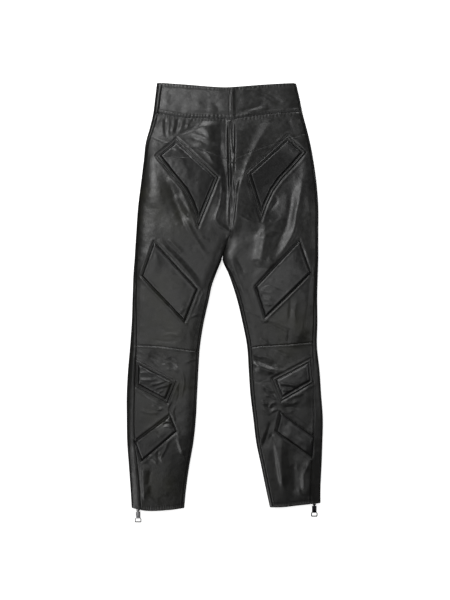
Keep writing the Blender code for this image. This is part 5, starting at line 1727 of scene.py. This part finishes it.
def hard_piece(node, name, material, body):
    """A copy of a metal solid with its flats merged and its edges rounded, which replaces it."""
    sizes = bpy.context.scene.trousers_zips
    build = bmesh.new()
    build.from_mesh(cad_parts[node].data)
    bmesh.ops.remove_doubles(build, verts=build.verts, dist=SAME_PLACE)
    bmesh.ops.dissolve_limit(build, angle_limit=FLAT_ANGLE, verts=build.verts, edges=build.edges)
    sharp = [edge for edge in build.edges if edge.is_manifold and edge.calc_face_angle() > EDGE_ANGLE]
    bmesh.ops.bevel(
        build, geom=sharp, offset=sizes.edge_radius, segments=sizes.edge_steps, profile=0.5, affect="EDGES",
        clamp_overlap=True)
    bmesh.ops.recalc_face_normals(build, faces=build.faces)
    mesh = bpy.data.meshes.new(name)
    build.to_mesh(mesh)
    build.free()
    mesh.materials.clear()
    mesh.materials.append(finish(material))
    dress(linked(name, mesh), node, body=body)


# ---------------------------------------------------------------- stage

SENSOR = 36.0          # millimetres, along the picture's longer side
FLOOR_HALF = 3.0       # half the floor's width, in metres
FLOOR_DROP = 0.1       # the floor lies this far below the solids
# Softboxes: property that holds the power, place and size, in metres. Each points at the origin.
SOFTBOXES = (
    ("key", (-0.8, 0.8, 2.12), (0.9, 0.9)),
    ("over", (-0.2, -0.3, 2.35), (0.9, 0.9)),
    ("waist", (0.0, 2.1, 1.13), (2.6, 0.5)),
    ("feet", (-1.2, -1.2, 1.7), (0.9, 0.9)),
    ("right", (1.5, 0.0, 1.5), (0.6, 1.6)),
)


def make_stage():
    """Floor, softboxes, dim room and a camera straight above."""
    scene = bpy.context.scene
    chosen = scene.trousers_stage
    half, level = FLOOR_HALF / MM, CAD_BOX[0][2] / MM - FLOOR_DROP
    corners = [(-half, -half, level), (half, -half, level), (half, half, level), (-half, half, level)]
    floor = new_piece("floor", corners, [(0, 1, 2, 3)], finish("opal_acrylic"))
    floor.visible_glossy = False
    for name, place, size in SOFTBOXES:
        light = bpy.data.lights.new(f"softbox_{name}", "AREA")
        light.shape, light.size, light.size_y = "RECTANGLE", *size
        light.energy = getattr(chosen, name)
        holder = bpy.data.objects.new(light.name, light)
        scene.collection.objects.link(holder)
        holder.location = place
        holder.rotation_euler = (-Vector(place)).to_track_quat("-Z", "Y").to_euler()
    world = bpy.data.worlds.new("room")
    world.use_nodes = True
    background = world.node_tree.nodes["Background"]
    background.inputs["Color"].default_value = WHITE
    background.inputs["Strength"].default_value = chosen.ambient
    scene.world = world
    camera = bpy.data.cameras.new("camera")
    camera.sensor_width, camera.lens = SENSOR, chosen.focal_length
    holder = bpy.data.objects.new("camera", camera)
    scene.collection.objects.link(holder)
    distance = chosen.view_height * chosen.focal_length / SENSOR
    holder.location = Vector(chosen.centre) + Vector((0.0, 0.0, distance))
    camera.clip_end = 4.0 * distance
    scene.camera = holder
    scene.view_settings.view_transform = "Standard"


# ---------------------------------------------------------------- operators, panel and main


class MakeStage(bpy.types.Operator):
    """Makes the floor, the lights and the camera"""
    bl_idname = "trousers.make_stage"
    bl_label = "Stage"

    def execute(self, context):
        make_stage()
        return {"FINISHED"}


class MakeWaistband(bpy.types.Operator):
    """Makes the waistband: two fronts that overlap at the centre, and the back"""
    bl_idname = "trousers.make_waistband"
    bl_label = "Waistband"

    def execute(self, context):
        for side in SIDES:
            front_skin(
                f"waistband_front_{side.name}", side, (WAIST_TOP, WAIST_SEAM),
                wall=BAND_WALL, proud=BAND_PROUD, closure=BAND_CLOSURE)
        back_skin("waistband_back", band_back_points(), BAND_WALL)
        return {"FINISHED"}


class MakeFronts(bpy.types.Operator):
    """Makes the front's skins: yokes, thighs and shins"""
    bl_idname = "trousers.make_fronts"
    bl_label = "Fronts"

    def execute(self, context):
        for side in SIDES:
            yoke, knee, hem = YOKE_SEAM[side.name], KNEE_SEAM[side.name], HEM[side.name]
            front_skin(f"yoke_front_{side.name}", side, (WAIST_SEAM, yoke))
            front_skin(f"thigh_front_{side.name}", side, (yoke, knee))
            front_skin(f"shin_front_{side.name}", side, (knee, hem))
        return {"FINISHED"}


class MakeBacks(bpy.types.Operator):
    """Makes the backs of the legs, round both folds"""
    bl_idname = "trousers.make_backs"
    bl_label = "Backs"

    def execute(self, context):
        for side in SIDES:
            back_skin(f"leg_back_{side.name}", leg_back(side), LEATHER)
        return {"FINISHED"}


class MakeFly(bpy.types.Operator):
    """Makes the lap over the fly"""
    bl_idname = "trousers.make_fly"
    bl_label = "Fly lap"

    def execute(self, context):
        fly_piece()
        return {"FINISHED"}


class MakePads(bpy.types.Operator):
    """Makes the padded panels"""
    bl_idname = "trousers.make_pads"
    bl_label = "Padded panels"

    def execute(self, context):
        for pad in PADS:
            pad_piece(pad)
        return {"FINISHED"}


class MakeFrames(bpy.types.Operator):
    """Makes the cords round the hip and knee pads"""
    bl_idname = "trousers.make_frames"
    bl_label = "Corded frames"

    def execute(self, context):
        for pad in PADS:
            if pad.framed:
                frame_piece(pad)
        return {"FINISHED"}


class MakeStitches(bpy.types.Operator):
    """Lays the rows of stitches"""
    bl_idname = "trousers.make_stitches"
    bl_label = "Stitches"

    def execute(self, context):
        stitches_piece()
        return {"FINISHED"}


class MakeZips(bpy.types.Operator):
    """Makes the ankle zips: tapes, teeth, sliders and pulls"""
    bl_idname = "trousers.make_zips"
    bl_label = "Ankle zips"

    def execute(self, context):
        for side in SIDES:
            tape_piece(side)
            hard_piece(f"zip_slider_{side.name}", f"slider_{side.name}", "black_nickel", GARMENT)
            # painted light: the left pull takes a paler copy of the nickel, for the light it catches
            pull_finish = "worn_nickel" if side is LEFT else "black_nickel"
            hard_piece(f"zip_pull_{side.name}", f"pull_tab_{side.name}", pull_finish, f"pull_{side.name}")
        teeth_piece()
        return {"FINISHED"}


OPERATORS = (
    MakeWaistband, MakeFronts, MakeBacks, MakeFly, MakePads, MakeFrames, MakeStitches, MakeZips, MakeStage,
)


class TrousersPanel(bpy.types.Panel):
    """Lists the pieces and their sizes"""
    bl_idname = "VIEW3D_PT_trousers"
    bl_label = "Leather trousers"
    bl_space_type = "VIEW_3D"
    bl_region_type = "UI"
    bl_category = "Trousers"

    def draw(self, context):
        for operator in OPERATORS:
            self.layout.operator(operator.bl_idname)
        for setting, group in SETTINGS.items():
            box = self.layout.box()
            for name in group.__annotations__:
                box.prop(getattr(context.scene, setting), name)


CLASSES = (*SETTINGS.values(), *OPERATORS, TrousersPanel)


def register():
    for kind in CLASSES:
        bpy.utils.register_class(kind)
    for setting, group in SETTINGS.items():
        setattr(bpy.types.Scene, setting, PointerProperty(type=group))


def unregister():
    for setting in SETTINGS:
        delattr(bpy.types.Scene, setting)
    for kind in reversed(CLASSES):
        bpy.utils.unregister_class(kind)


def main():
    register()
    for operator in OPERATORS:
        group, name = operator.bl_idname.split(".")
        getattr(getattr(bpy.ops, group), name)()


if __name__ == "__main__":
    main()
